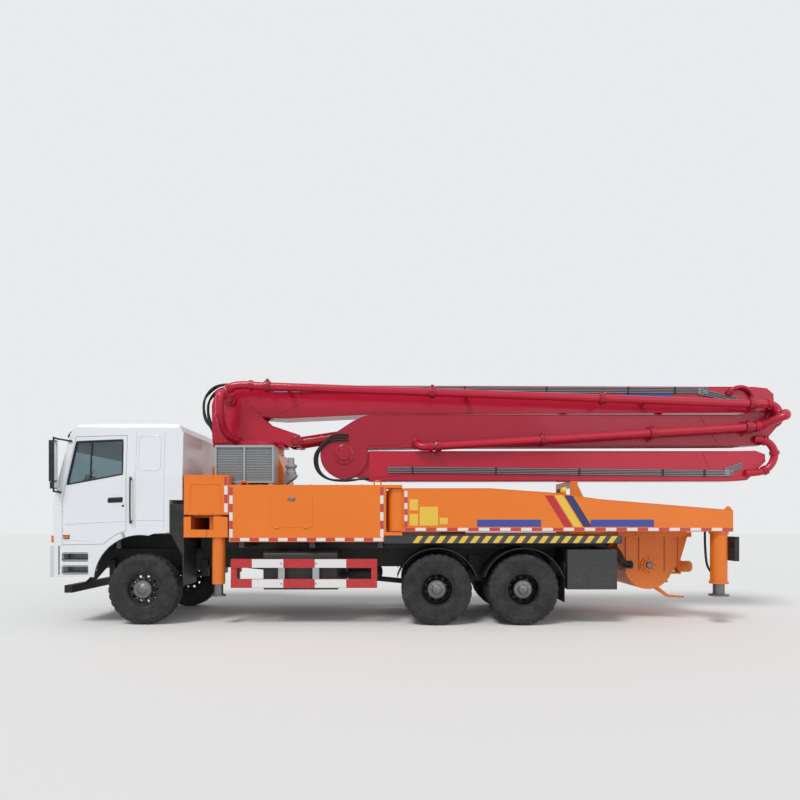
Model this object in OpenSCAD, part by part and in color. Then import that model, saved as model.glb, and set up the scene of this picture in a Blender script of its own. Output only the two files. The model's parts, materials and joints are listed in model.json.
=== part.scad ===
// Concrete pump truck: three axles, four-section placing boom, folded for the road.
// Millimetres. +X points to the rear, +Z up, the ground is at z = 0.
// The origin lies on the ground, midway between the bumper and the boom's rear knuckle.

/* [Truck] */
// Length from the bumper to the rear knuckle of the boom
overall_l = 11900; // [11700:10:12200]
// Width over the deck and the leg beams
body_w = 2500; // [2460:10:2550]
// Distance from the front bumper to the front axle
front_overhang = 1430; // [1400:10:1450]
// Distance from the front axle to the first rear axle
wheelbase = 4600; // [4560:10:4650]
// Distance between the two rear axles
tandem_gap = 1350; // [1330:5:1380]

/* [Wheels] */
// Radius of a tyre
tyre_r = 555; // [540:1:562]
// Width of one tyre
tyre_w = 290; // [270:1:300]
// Radius of the rim under the tyre
rim_r = 262; // [255:1:270]
// Distance from the middle of the truck to a front tyre's middle plane
front_track_half = 1025; // [1015:1:1040]
// Distance from the middle of the truck to a rear pair's middle plane
rear_track_half = 925; // [915:1:930]
// Distance between the two tyres of a pair
twin_gap = 345; // [335:1:360]
// Radius of the bore through a hub
hub_bore_r = 60; // [50:1:65]

/* [Chassis] */
// Height of the frame rails' underside
rail_z = 860; // [850:1:880]
// Height of a frame rail
rail_h = 300; // [280:1:310]
// Width over the two frame rails
rail_span = 860; // [840:1:870]
// Thickness of a rail's web and flanges
rail_t = 10; // [8:1:14]
// Width of a rail's flange
rail_flange = 80; // [70:1:90]
// Height of the subframe on the rails
subframe_h = 240; // [220:1:240]

/* [Cab] */
// Width of the cab
cab_w = 2480; // [2440:10:2500]
// Highest point of the cab's roof
cab_top = 3230; // [3200:1:3250]
// Thickness of the cab's walls and doors
cab_wall = 60; // [50:1:70]
// Gap round a cab door
door_gap = 6; // [5:1:10]

/* [Body] */
// Height of the side boxes' underside
box_z = 1300; // [1280:5:1320]
// Height of the side boxes' top
box_top = 2185; // [2150:1:2200]
// Depth of a side box
box_d = 600; // [560:1:640]
// Thickness of the plates of the boxes and beams
plate_t = 12; // [8:1:14]

/* [Boom] */
// Height of the boom's first joint on the turret
boom_pivot_z = 3700; // [3680:1:3720]
// Width of the first section
boom_w = 450; // [430:1:460]
// Width of the second and third sections
arm_w = 270; // [260:1:280]
// Width of the fourth section
tip_w = 190; // [180:1:200]
// Radius of the boom's pins
pin_r = 60; // [50:1:65]
// Radial clearance of a pin in its bore
pin_fit = 0.08; // [0.05:0.01:0.1]
// Gap between pieces that face each other but do not touch
side_gap = 6; // [5:1:10]
// Gap at a seat
seat_gap = 0.3; // [0.2:0.1:0.5]

/* [Hidden] */
$fn = 48;

front_x = -overall_l / 2;
axle_x = front_x + front_overhang;
rear_x = [axle_x + wheelbase, axle_x + wheelbase + tandem_gap];
half_w = body_w / 2;
left = -1;
right = 1;

// A profile drawn in X and Z and given a width along Y, from y0 to y1
module side_plate(points, y0, y1) {
  translate([0, y1, 0]) rotate([90, 0, 0]) linear_extrude(y1 - y0) polygon(points);
}

// A round bar along Y, from y0 to y1
module bar_y(x, z, r, y0, y1) {
  translate([x, y1, z]) rotate([90, 0, 0]) cylinder(h = y1 - y0, r = r);
}

// A box given by its lowest and its highest corner
module block(low, high) {
  translate(low) cube(high - low);
}

// Its children on the left side as drawn for the right, or as they are
module on_side(side) {
  mirror([0, side < 0 ? 1 : 0, 0]) children();
}

// A plain box of plate, closed all round, with its inside left empty
module hollow_block(low, high, t) {
  difference() {
    block(low, high);
    block(low + [t, t, t], high - [t, t, t]);
  }
}

/* Wheels */
shoulder_r = 45;
tyre_seat_w = 230;
hub_r = 150;
hub_pin_r = hub_bore_r - pin_fit;
disc_t = 24;

module tyre(x, y) {
  half = tyre_w / 2;
  translate([x, y, tyre_r]) rotate([90, 0, 0]) rotate_extrude($fn = 72)
    polygon([[rim_r, -tyre_seat_w / 2], [rim_r + 40, -half + 20], [rim_r + 150, -half],
      [tyre_r - shoulder_r, -half + 8], [tyre_r - 8, -half + shoulder_r], [tyre_r, 0],
      [tyre_r - 8, half - shoulder_r], [tyre_r - shoulder_r, half - 8], [rim_r + 150, half],
      [rim_r + 40, half - 20], [rim_r, tyre_seat_w / 2]]);
}

// One rim about its middle plane at y: a barrel, a disc at disc_y and a hub with its bore
module rim(x, y, half, disc_y, hub) {
  barrel_t = 16;
  bolt_holes = 10;
  hand_hole_r = 24;
  translate([x, y, tyre_r]) rotate([-90, 0, 0]) difference() {
    union() {
      rotate_extrude($fn = 72) translate([rim_r - barrel_t, -half[0]]) square([barrel_t, 2 * half[0]]);
      translate([0, 0, disc_y - disc_t / 2]) cylinder(h = disc_t, r = rim_r - barrel_t / 2, $fn = 72);
      translate([0, 0, hub[0]]) cylinder(h = hub[1] - hub[0], r = hub_r);
    }
    translate([0, 0, hub[0] - 1]) cylinder(h = hub[1] - hub[0] + 2, r = hub_bore_r);
    for (i = [0 : bolt_holes - 1]) rotate(i * 360 / bolt_holes) translate([200, 0, disc_y - disc_t])
      cylinder(h = 2 * disc_t, r = hand_hole_r, $fn = 24);
  }
}

module front_tyre(side) {
  color("#1b1c1e") tyre(axle_x, side * front_track_half);
}

module front_rim(side) {
  color("#2a2c30") on_side(side) rim(axle_x, front_track_half, [tyre_seat_w / 2], 50, [-40, 130]);
}

module twin_tyres(x, side) {
  color("#1b1c1e") for (s = [-0.5, 0.5]) tyre(x, side * (rear_track_half + s * twin_gap));
}

module twin_rim(x, side) {
  color("#2a2c30") on_side(side) rim(x, rear_track_half, [(twin_gap + tyre_seat_w) / 2], 0, [-200, 215]);
}

/* Steered knuckle with its stub axle */
king_y = 850;
king_r = 30;
knuckle_z = tyre_r;
stub_end = 1140;

ear_r = 60;
boss_half = 85;

module knuckle(side) {
  color("#2b2d30") on_side(side) difference() {
    union() {
      for (z = [-boss_half - 65, boss_half + 5]) translate([axle_x, king_y, knuckle_z + z]) cylinder(h = 60, r = ear_r);
      for (z = [-boss_half - 65, boss_half + 5])
        block([axle_x - ear_r, king_y, knuckle_z + z], [axle_x + ear_r, king_y + 70, knuckle_z + z + 60]);
      block([axle_x - ear_r, king_y + 62, knuckle_z - 150], [axle_x + ear_r, king_y + 100, knuckle_z + 150]);
      bar_y(axle_x, knuckle_z, hub_pin_r, king_y + 90, stub_end);
    }
    translate([axle_x, king_y, 0]) cylinder(h = 2 * tyre_r, r = king_r);
  }
}

/* Axles */
beam_low = 380;
beam_high = 500;

module axles() {
  color("#26282b") {
    // the front beam, dropped between the springs, with its kingpins
    union() {
      difference() {
        block([axle_x - 50, -745, beam_low], [axle_x + 50, 745, beam_high]);
        for (s = [-1, 1]) block([axle_x + s * 38 - 18, -690, beam_low + 30], [axle_x + s * 38 + 18, 690, beam_high - 30]);
      }
      for (side = [left, right]) on_side(side) {
        block([axle_x - 45, 700, beam_low], [axle_x + 45, 745, knuckle_z + 80]);
        block([axle_x - 45, 740, knuckle_z - 80], [axle_x + 45, king_y - 30, knuckle_z + 80]);
        translate([axle_x, king_y, knuckle_z - boss_half]) cylinder(h = 2 * boss_half, r = 52);
        translate([axle_x, king_y, knuckle_z - 160]) cylinder(h = 320, r = king_r - pin_fit);
      }
    }
    // the two driven axles: tube, banjo and the stubs that carry the hubs
    for (x = rear_x) union() {
      bar_y(x, tyre_r, 80, -560, 560);
      bar_y(x, tyre_r, hub_pin_r, -1150, 1150);
      translate([x, 0, tyre_r]) sphere(r = 215);
      translate([x, 0, tyre_r]) rotate([0, -90, 0]) cylinder(h = 330, r = 90);
    }
  }
}

/* Leaf springs: a pack of leaves as one stepped bar, with its hangers on the rails */
spring_y = rail_span / 2;
spring_w = 90;
leaf_t = 16;

// Leaves of falling length that lie on each other; rise lifts the longest one's ends
module leaf_pack(x, z, half_len, leaves, rise) {
  for (i = [0 : leaves - 1]) {
    half = half_len * (1 - i / (leaves + 1));
    low = z - i * leaf_t;
    tip = low + rise * half / half_len;
    side_plate([[x - half, tip], [x, low], [x + half, tip], [x + half, tip + leaf_t + 1], [x, low + leaf_t + 1],
      [x - half, tip + leaf_t + 1]], spring_y, spring_y + spring_w);
  }
}

module springs() {
  front_z = 600;
  mid = (rear_x[0] + rear_x[1]) / 2;
  color("#2f3134") for (side = [left, right]) on_side(side) {
    union() {
      leaf_pack(axle_x, front_z, 780, 5, 120);
      block([axle_x - 60, spring_y, beam_high + seat_gap], [axle_x + 60, spring_y + spring_w, front_z]);
      for (s = [-1, 1])
        block([axle_x + s * 770 - 50, spring_y, 700], [axle_x + s * 770 + 50, spring_y + spring_w, 980]);
    }
    union() {
      leaf_pack(mid, 720, 720, 7, -40);
      block([mid - 110, spring_y, 700], [mid + 110, spring_y + spring_w, 1060]);
      for (x = rear_x) block([x - 40, spring_y, tyre_r + 80 + seat_gap], [x + 40, spring_y + spring_w, 690]);
    }
  }
}

/* Frame: two channel rails, their crossmembers and the front beam below the bumper */
frame_front = front_x + 420;
frame_rear = 2900;
cross_x = [-5300, -3060, -2300, -1500, -560, 760, 2100, 2860];

module rail(side) {
  on_side(side) difference() {
    block([frame_front, rail_span / 2 - rail_flange, rail_z], [frame_rear, rail_span / 2, rail_z + rail_h]);
    block([frame_front - 1, rail_span / 2 - rail_flange - 1, rail_z + rail_t],
      [frame_rear + 1, rail_span / 2 - rail_t, rail_z + rail_h - rail_t]);
  }
}

module chassis_frame() {
  color("#232528") union() {
    rail(left);
    rail(right);
    for (x = cross_x) difference() {
      block([x - 40, -rail_span / 2 + rail_t / 2, rail_z + 40], [x + 40, rail_span / 2 - rail_t / 2, rail_z + rail_h - 40]);
      block([x - 28, -rail_span / 2 + rail_flange, rail_z + 52], [x + 41, rail_span / 2 - rail_flange, rail_z + rail_h - 52]);
    }
    // underrun beam in front of the axle
    block([front_x + 110, -980, 480], [front_x + 230, 980, 600]);
    for (side = [left, right]) on_side(side)
      side_plate([[front_x + 150, 590], [front_x + 300, 590], [frame_front + 120, rail_z], [frame_front + 120, rail_z + rail_h - 40],
        [frame_front, rail_z + rail_h - 40], [frame_front - 60, 800]], rail_span / 2 - 2 * rail_t, rail_span / 2 - rail_t / 2);
    // cab mounts
    for (side = [left, right]) on_side(side) for (x = [-5400, -4200])
      block([x, rail_span / 2 - rail_flange, sub_z - 1], [x + 100, rail_span / 2, floor_z - seat_gap]);
  }
}

/* Engine, gearbox and propshaft: plain blocks at their real place */
module powertrain() {
  color("#3a3c3f") {
    block([-5240, -320, 760], [-4000, 320, 1380]);
    translate([-4001, 0, 1000]) rotate([0, 90, 0]) cylinder(h = 856, r = 190);
    for (side = [left, right]) on_side(side) for (x = [-5100, -4300])
      block([x, 319, 940], [x + 80, rail_span / 2 - rail_t, 1040]);
    // propshaft, down to the nose of the first driven axle
    shaft_from = [-3150, 840];
    shaft_to = [rear_x[0] - 331, tyre_r];
    translate([shaft_from[0], 0, shaft_from[1]])
      rotate([0, 90 + atan2(shaft_from[1] - shaft_to[1], shaft_to[0] - shaft_from[0]), 0])
        cylinder(h = norm(shaft_to - shaft_from) - 12, r = 45);
  }
}

/* Tanks */
module fuel_tanks() {
  color("#3c3e42") for (side = [left, right]) on_side(side) difference() {
    union() {
      hull() for (y = [560, 1050]) for (z = [610, 1080]) translate([-2640, y, z]) rotate([0, 90, 0])
        cylinder(h = 1160, r = 70, $fn = 32);
      for (x = [-2500, -1700]) block([x, rail_span / 2, 880], [x + 80, 495, 1080]);
    }
    hull() for (y = [560, 1050]) for (z = [610, 1080]) translate([-2630, y, z]) rotate([0, 90, 0])
      cylinder(h = 1140, r = 60, $fn = 32);
  }
}

module water_tanks() {
  color("#1d1f22") for (side = [left, right]) on_side(side) {
    hollow_block([2110, 520, 560], [2880, half_w - 30, 1180], plate_t);
    block([2180, rail_span / 2, 900], [2260, 520, 1100]);
    block([2720, rail_span / 2, 900], [2800, 520, 1100]);
  }
}

/* Side guards: two planks on posts, with their struts to the rails */
guard_x0 = -3120;
guard_x1 = -850;
guard_z = [[586, 725], [896, 1035]];

module side_guards() {
  color("#c21f2c") for (side = [left, right]) on_side(side) union() {
    for (band = guard_z) block([guard_x0, half_w - 45, band[0]], [guard_x1, half_w - 10, band[1]]);
    for (x = [guard_x0, -2385, -1843, guard_x1 - 90])
      block([x, half_w - 50, guard_z[0][0]], [x + 90, half_w - 20, guard_z[1][1]]);
    for (x = [guard_x0, guard_x1 - 90])
      block([x, rail_span / 2, 920], [x + 60, half_w - 49, 980]);
  }
}

/* Mudguards over the rear wheels, and the black panels behind the front wheels */
guard_r = 640;

module arch_band(x, r, t, y0, y1, from, to) {
  steps = 20;
  side_plate(concat(
    [for (i = [0 : steps]) let (a = from + (to - from) * i / steps) [x + r * cos(a), tyre_r + r * sin(a)]],
    [for (i = [0 : steps]) let (a = to + (from - to) * i / steps) [x + (r + t) * cos(a), tyre_r + (r + t) * sin(a)]]), y0, y1);
}

module mudguards() {
  y0 = rear_track_half - twin_gap / 2 - tyre_w / 2 - 20;
  color("#17181a") for (side = [left, right]) on_side(side) {
    for (x = rear_x) union() {
      arch_band(x, guard_r, 12, y0, half_w - 5, 18, 162);
      block([x - 40, rail_span / 2, 1150], [x + 40, y0 + 40, 1200]);
    }
    // closed panel behind the front wheel, under the sleeper part of the cab
    union() {
      side_plate([[-4040, 1390], [-3880, 1100], [-3865, 620], [-3850, 620], [-3850, 1890], [-4060, 1890], [-4060, 1440]],
        640, cab_w / 2 - 20);
      block([-3990, rail_span / 2, 1110], [-3930, 641, 1160]);
      block([-3990, 620, 1110], [-3930, 700, 1400]);
    }
  }
}

/* Cab */
// Outline of the cab seen from the side, in X and Z: front, windscreen, roof, rear wall, arch
sill_z = 757;
floor_z = 1440;
cab_front = front_x + 90;
cab_rear = -3870;
floor_top = floor_z + cab_wall;
arch_r = 752;
arch_top = 1440;
screen_base = 1900;

function arch_points(r, from, to, steps) =
  [for (i = [0 : steps]) let (a = from + (to - from) * i / steps) [axle_x + r * cos(a), 690 + r * sin(a)]];

cab_roof_line = [[cab_front + 225, 2990], [cab_front + 330, 3130], [cab_front + 520, 3195], [-4900, cab_top],
  [-4200, cab_top - 20], [-3960, 3130], [cab_rear, 3010], [cab_rear, 1950], [-4074, 1950], [-4074, arch_top]];

module cab_section(t) {
  // cross-section of the cab in Y and Z, with its rounded shoulders
  half = cab_w / 2 - t;
  r = 190;
  top = cab_top - t;
  rotate([90, 0, 90]) translate([0, 0, cab_front - 100]) linear_extrude(2400)
    polygon(concat([[-half, sill_z - 10], [half, sill_z - 10], [half, 2300]],
      [for (a = [0 : 15 : 90]) [half - 60 - r + r * cos(a), top - r + r * sin(a)]],
      [for (a = [90 : 15 : 180]) [-half + 60 + r + r * cos(a), top - r + r * sin(a)]], [[-half, 2300]]));
}

door_x0 = -5735;
door_x1 = -4740;
door_z0 = 1250;
door_pin_r = 5;

// Outline of a door opening, with a gap g taken off all round
function door_outline(g) = concat(
  [[door_x0 + g, door_z0 + g], [door_x0 + g, 1905], [-5545 + g, 2940 - g], [door_x1 - g, 2960 - g], [door_x1 - g, 1500 + g]],
  arch_points(arch_r + 60 + g, 107, 135, 4));

window_points = [[-5655, 2190], [-5530, 2860], [-4810, 2890], [-4800, 2350]];

// One ring or bar at each of a door's two hinges, between two heights above the hinge's foot
hinge_feet = [1420, 1780];

module at_door_hinges(r, low, high) {
  for (z = hinge_feet) translate([door_x0 + door_gap / 2, cab_w / 2, z + low]) cylinder(h = high - low, r = r);
}

module cab_shell() {
  color("#dfe3e6") union() {
    cab_walls();
    for (side = [left, right]) on_side(side) {
      at_door_hinges(door_pin_r, -20, 80);
      at_door_hinges(2 * door_pin_r, -24, -2);
      at_door_hinges(2 * door_pin_r, 62, 84);
    }
  }
}

module cab_walls() {
  difference() {
    union() {
      difference() {
        intersection() {
          side_plate(concat([[cab_front, 1245], [cab_front - 15, screen_base]], cab_roof_line,
            arch_points(arch_r, 78, 138, 10)), -cab_w / 2, cab_w / 2);
          cab_section(0);
        }
        // the room inside, above the floor
        intersection() {
          side_plate([[cab_front + cab_wall, floor_top], [cab_front - 15 + cab_wall, screen_base],
            [cab_front + 225 + cab_wall, 2960], [cab_front + 520, 3195 - cab_wall], [-4900, cab_top - cab_wall],
            [-4200, cab_top - 20 - cab_wall], [cab_rear - cab_wall, 2950], [cab_rear - cab_wall, 2010],
            [-4074 - cab_wall, 2010], [-4074 - cab_wall, floor_top]], -cab_w / 2 + cab_wall, cab_w / 2 - cab_wall);
          cab_section(cab_wall);
        }
        // what lies under the floor, between the side panels
        block([cab_front + cab_wall, -cab_w / 2 + cab_wall, sill_z - 50], [-3700, cab_w / 2 - cab_wall, floor_z]);
      }
      // step panels in front of the wheels
      for (side = [left, right]) on_side(side)
        side_plate(concat([[cab_front, sill_z], [cab_front, 1300]], arch_points(arch_r, 130, 174, 8)),
          cab_w / 2 - cab_wall, cab_w / 2);
    }
    // windscreen
    block([cab_front - 100, -1060, 2010], [cab_front + 230, 1060, 2880]);
    // door openings
    for (side = [left, right]) on_side(side)
      side_plate(door_outline(0), cab_w / 2 - 3 * cab_wall, cab_w / 2 + 1);
    // treads in the step panels
    for (z = [810, 1010]) block([cab_front + 120, -cab_w, z], [-5330, cab_w, z + 110]);
    // room for the doors' own hinge rings
    for (side = [left, right]) on_side(side) at_door_hinges(2 * door_pin_r + 4, -1, 61);
  }
}

module door(side) {
  color("#e3e6e9") on_side(side) difference() {
    union() {
      difference() {
        intersection() {
          side_plate(door_outline(door_gap), cab_w / 2 - 3 * cab_wall, cab_w / 2);
          cab_section(0);
        }
        cab_section(cab_wall);
        at_door_hinges(2 * door_pin_r + 4, -28, 88);
      }
      at_door_hinges(2 * door_pin_r, 0, 60);
      for (z = hinge_feet) block([door_x0 + door_gap / 2, cab_w / 2 - 8, z], [door_x0 + 30, cab_w / 2, z + 60]);
    }
    side_plate(window_points, cab_w / 2 - 4 * cab_wall, cab_w / 2 + 1);
    at_door_hinges(door_pin_r + pin_fit, -30, 90);
  }
}

module seat(y) {
  cushion_z = floor_top;
  union() {
    block([-5150, y - 240, cushion_z], [-4650, y + 240, cushion_z + 150]);
    block([-5180, y - 250, cushion_z + 150], [-4640, y + 250, cushion_z + 290]);
    side_plate([[-4780, cushion_z + 290], [-4640, cushion_z + 290], [-4560, cushion_z + 1000], [-4660, cushion_z + 1010]],
      y - 240, y + 240);
    side_plate([[-4645, cushion_z + 1000], [-4560, cushion_z + 1000], [-4540, cushion_z + 1180], [-4625, cushion_z + 1190]],
      y - 140, y + 140);
  }
}

module seats() {
  color("#3b3f45") for (y = [-680, 680]) seat(y);
}

module dashboard() {
  color("#2d3034") union() {
    side_plate([[cab_front + 66, floor_top], [cab_front + 200, floor_top], [cab_front + 380, 2040], [cab_front + 300, 2110],
      [cab_front + 120, 2080], [cab_front + 66, 1890]], -1120, 1120);
    translate([cab_front + 390, -680, 2190]) rotate([0, 40, 0]) {
      translate([0, 0, -200]) cylinder(h = 205, r = 30);
      difference() {
        translate([0, 0, -16]) cylinder(h = 30, r = 225);
        translate([0, 0, -17]) cylinder(h = 32, r = 195);
      }
      for (a = [0, 120, 240]) rotate(a) translate([0, -15, -10]) cube([210, 30, 18]);
    }
  }
}

module bumper() {
  color("#d5d8da") difference() {
    union() {
      block([front_x, -1180, sill_z], [cab_front, 1180, 1238]);
      for (side = [left, right]) on_side(side)
        side_plate([[front_x + 45, sill_z], [cab_front, sill_z], [cab_front, 1238], [front_x + 55, 1238]], 1180, cab_w / 2);
    }
    for (side = [left, right]) on_side(side) block([front_x - 1, 800, 960], [front_x + 40, 1120, 1120]);
    block([front_x - 1, -560, 830], [front_x + 30, 560, 900]);
    block([front_x - 1, -560, 940], [front_x + 30, 560, 1010]);
  }
}

module mirrors() {
  color("#22252a") for (side = [left, right]) on_side(side) union() {
    block([-5850, 1300, 2230], [-5770, 1400, 2860]);
    block([-5840, 1310, 2120], [-5775, 1390, 2225]);
    block([-5820, 1330, 2220], [-5790, 1360, 2240]);
    bar_y(-5805, 2900, 14, cab_w / 2 - 44, 1345);
    bar_y(-5805, 2080, 14, cab_w / 2 + 1, 1345);
    translate([-5805, 1345, 2066]) cylinder(h = 850, r = 14, $fn = 24);
    side_plate([[-5819, 2886], [-5791, 2886], [-5600, 2850], [-5600, 2880], [-5819, 2914]], cab_w / 2 - 44, cab_w / 2 - 20);
    side_plate([[-5819, 2066], [-5791, 2066], [-5745, 2050], [-5745, 2080], [-5819, 2094]], cab_w / 2 + seat_gap, cab_w / 2 + 25);
  }
}

/* Deck: subframe beams on the rails, outriggers to the sides and the walkway over the rear wheels */
sub_z = rail_z + rail_h;
deck_z = sub_z + subframe_h;
deck_rear = 2950;
walk_x0 = -742;

module deck() {
  color("#2a2c2f") union() {
    for (side = [left, right]) on_side(side) {
      block([-3842, rail_span / 2 - rail_flange, sub_z], [deck_rear, rail_span / 2, deck_z]);
      block([walk_x0, rail_span / 2 - 1, deck_z - 20], [deck_rear, half_w - 8, deck_z]);
      block([walk_x0, half_w - 14, deck_z - 124], [deck_rear, half_w - 8, deck_z]);
      for (x = [-3000, -1900, -840]) block([x, rail_span / 2 - 1, box_z - 90], [x + 80, half_w - 40, box_z]);
      for (x = [walk_x0, 700, 1300, deck_rear - 60])
        block([x, rail_span / 2 - 1, deck_z - 90], [x + 60, half_w - 10, deck_z]);
    }
    for (x = [-2900, -2000, 400, 2300]) block([x, -rail_span / 2 + 10, sub_z], [x + 100, rail_span / 2 - 10, sub_z + plate_t]);
  }
}

/* Side boxes along the deck, in front of the leg beams */
box_x0 = -3144;
box_x1 = -742;

module side_boxes() {
  y0 = half_w - box_d;
  color("#f08a1d") for (side = [left, right]) on_side(side) difference() {
    block([box_x0, y0, box_z], [box_x1, half_w, box_top]);
    block([box_x0 + plate_t, y0 + plate_t, box_z + plate_t], [box_x1 - plate_t, half_w - plate_t, box_top - plate_t]);
    // the locker door's joint line, cut into the face
    difference() {
      block([-2500, half_w - 5, 1520], [-1850, half_w + 1, 2010]);
      block([-2494, half_w - 6, 1526], [-1856, half_w + 2, 2004]);
    }
  }
}

/* Leg housing across the deck: two tunnels for the front arms, with a hood at each side */
house_x0 = -3842;
house_x1 = -3150;
house_top = 1720;
arm_x = [[-3475, -3195], [-3800, -3520]];
arm_z0 = 1430;
arm_z1 = 1690;
hood_top = 2340;

module leg_housing() {
  color("#f08a1d") {
    difference() {
      block([house_x0, -1030, deck_z], [house_x1, 1030, house_top]);
      for (span = arm_x) block([span[0] - side_gap, -1031, arm_z0 - seat_gap], [span[1] + side_gap, 1031, arm_z1 + side_gap]);
    }
    for (side = [left, right]) on_side(side) difference() {
      union() {
        block([house_x0, 620, house_top], [house_x1, half_w, house_top + 60]);
        block([house_x0, 1010, house_top], [house_x1, half_w, hood_top]);
      }
      block([house_x0 + plate_t, 1010 + plate_t, house_top - 1], [house_x1 - plate_t, half_w - plate_t, hood_top - plate_t]);
    }
  }
}

/* Pedestal under the turret, with its slewing ring */
slew_x = -3000;
ring_z = 2770;
ring_top = 2880;

module pedestal() {
  color("#ee7d1a") difference() {
    union() {
      side_plate([[house_x1, deck_z], [-2400, deck_z], [-2450, 2500], [-2550, ring_z], [-3450, ring_z], [-3640, 2500],
        [-3640, house_top], [house_x1, house_top]], -480, 480);
      translate([slew_x, 0, ring_z]) cylinder(h = ring_top - ring_z, r = 470, $fn = 72);
    }
    side_plate([[house_x1 + 30, deck_z - 1], [-2430, deck_z - 1], [-2480, 2490], [-2570, ring_z - 30], [-3430, ring_z - 30],
      [-3610, 2490], [-3610, house_top + 30], [house_x1 + 30, house_top + 30]], -450, 450);
    translate([slew_x, 0, ring_z - 40]) cylinder(h = 200, r = 200);
  }
}

module oil_cooler() {
  color("#8f989c") difference() {
    union() {
      block([-3440, -1000, 2230], [-2500, -640, 2830]);
      block([-3130, -990, box_top], [-3040, -660, 2231]);
      block([-2590, -990, box_top], [-2520, -660, 2231]);
    }
    block([-3410, -1001, 2265], [-2985, -960, 2795]);
    block([-2955, -1001, 2265], [-2530, -960, 2795]);
  }
}

/* Brackets and pins of the swinging rear legs */
hinge_x = -560;
hinge_y = 1085;
post_t = 30;
beam_z0 = 1462;
beam_y0 = 930;
beam_end = 4668;
beam_nose_r = 120;
ear_t = 50;
beam_z1 = box_top - ear_t - side_gap;

// Outline of a rear beam with its walls taken off: full height in front, tapering to the leg
function beam_outline(t, x0, x1) = [[x0, beam_z0 + t], [x1, beam_z0 + t], [x1, 1790 - t], [2600, 1960 - t], [1900, 2060 - t],
  [900, beam_z1 - t], [x0, beam_z1 - t]];

module leg_brackets() {
  color("#e8841c") for (side = [left, right]) on_side(side) union() {
    // a post behind the side box, with the lower and the upper ear
    block([box_x1, half_w - box_d, deck_z], [box_x1 + post_t, half_w, box_top]);
    for (z = [[deck_z, deck_z + 50], [box_top - 50, box_top]])
      block([box_x1 + post_t - 1, beam_y0 - 20, z[0]], [hinge_x + 100, half_w, z[1]]);
    translate([hinge_x, hinge_y, deck_z + 20]) cylinder(h = box_top - deck_z - 60, r = pin_r);
  }
}

module rear_beam(side) {
  color("#f08a1d") on_side(side) difference() {
    union() {
      side_plate(beam_outline(0, hinge_x + beam_nose_r, beam_end), beam_y0, half_w);
      translate([hinge_x, hinge_y, beam_z0]) cylinder(h = beam_z1 - beam_z0, r = beam_nose_r);
      block([hinge_x, hinge_y - beam_nose_r, beam_z0], [hinge_x + beam_nose_r + 1, hinge_y + beam_nose_r, beam_z1]);
      // the leg's tube at the rear end
      translate([leg_x, leg_y, leg_z0]) cylinder(h = beam_z0 - leg_z0 + 1, r = leg_r);
    }
    side_plate(beam_outline(plate_t, hinge_x + 300, 4250), beam_y0 + plate_t, half_w - plate_t);
    translate([hinge_x, hinge_y, beam_z0 - 1]) cylinder(h = beam_z1, r = pin_r + pin_fit);
    translate([leg_x, leg_y, leg_z0 - 1]) cylinder(h = 1020, r = jack_r + pin_fit);
  }
}

/* Jacks: a rod with a foot, sliding in its tube */
leg_x = 4520;
leg_y = 1100;
leg_r = 125;
leg_z0 = 640;
jack_r = 85;
foot_z = 450;
foot_r = 150;

module jack(x, y, top) {
  translate([x, y, foot_z]) {
    cylinder(h = 24, r = foot_r);
    translate([0, 0, 24]) cylinder(h = 40, r1 = 110, r2 = 60);
    translate([0, 0, 24]) cylinder(h = top - foot_z - 24, r = jack_r);
  }
}

module rear_jack(side) {
  color("#c9ccce") on_side(side) jack(leg_x, leg_y, 1640);
}

/* Front arms: a beam across the truck with the leg's tube at its outer end */
front_leg_y = 1135;
front_leg_r = 100;
front_jack_r = 70;

module front_arm(side, span) {
  mid = (span[0] + span[1]) / 2;
  color("#f08a1d") on_side(side) difference() {
    union() {
      block([span[0], -980, arm_z0], [span[1], front_leg_y, arm_z1]);
      translate([mid, front_leg_y, leg_z0]) cylinder(h = arm_z1 + 20 - leg_z0, r = front_leg_r);
    }
    block([span[0] + plate_t, -981, arm_z0 + plate_t], [span[1] - plate_t, 1020, arm_z1 - plate_t]);
    translate([mid, front_leg_y, leg_z0 - 1]) cylinder(h = 1030, r = front_jack_r + pin_fit);
  }
}

module front_jack(side, span) {
  mid = (span[0] + span[1]) / 2;
  color("#c9ccce") on_side(side) translate([mid, front_leg_y, foot_z]) {
    cylinder(h = 24, r = 110);
    translate([0, 0, 24]) cylinder(h = 1100, r = front_jack_r);
  }
}

/* Boom rest on the deck, under the folded packet */
rest_x = 2420;
packet_z = 2292;

module boom_rest() {
  color("#ee7d1a") union() {
    for (side = [left, right]) on_side(side) {
      side_plate([[rest_x - 60, deck_z], [rest_x + 460, deck_z], [rest_x + 60, packet_z - 60], [rest_x - 60, packet_z - 60]],
        440, 480);
    }
    block([rest_x - 60, -480, packet_z - 100], [rest_x + 60, 480, packet_z - seat_gap]);
  }
}

/* Hopper */
hop_x0 = 3090;
hop_x1 = 4300;
hop_top = 1442;
hop_half = 640;
drum_x = 3600;
drum_z = 900;
drum_r = 400;

// Outline of the hopper seen from the side, with t taken off: front wall, round bottom, sloping rear wall
function hopper_outline(t) = concat(
  [[hop_x0 + t, hop_top - 80], [hop_x0 + t, drum_z + 200]],
  [for (a = [180 : 15 : 345]) [drum_x + (drum_r - t) * cos(a), drum_z + (drum_r - t) * sin(a)]],
  [[4120 - t, drum_z + 60], [hop_x1 - 60 - t, hop_top - 80]]);

module hopper() {
  color("#f0741a") union() {
    hopper_tub();
    grate_pins();
  }
}

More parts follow.
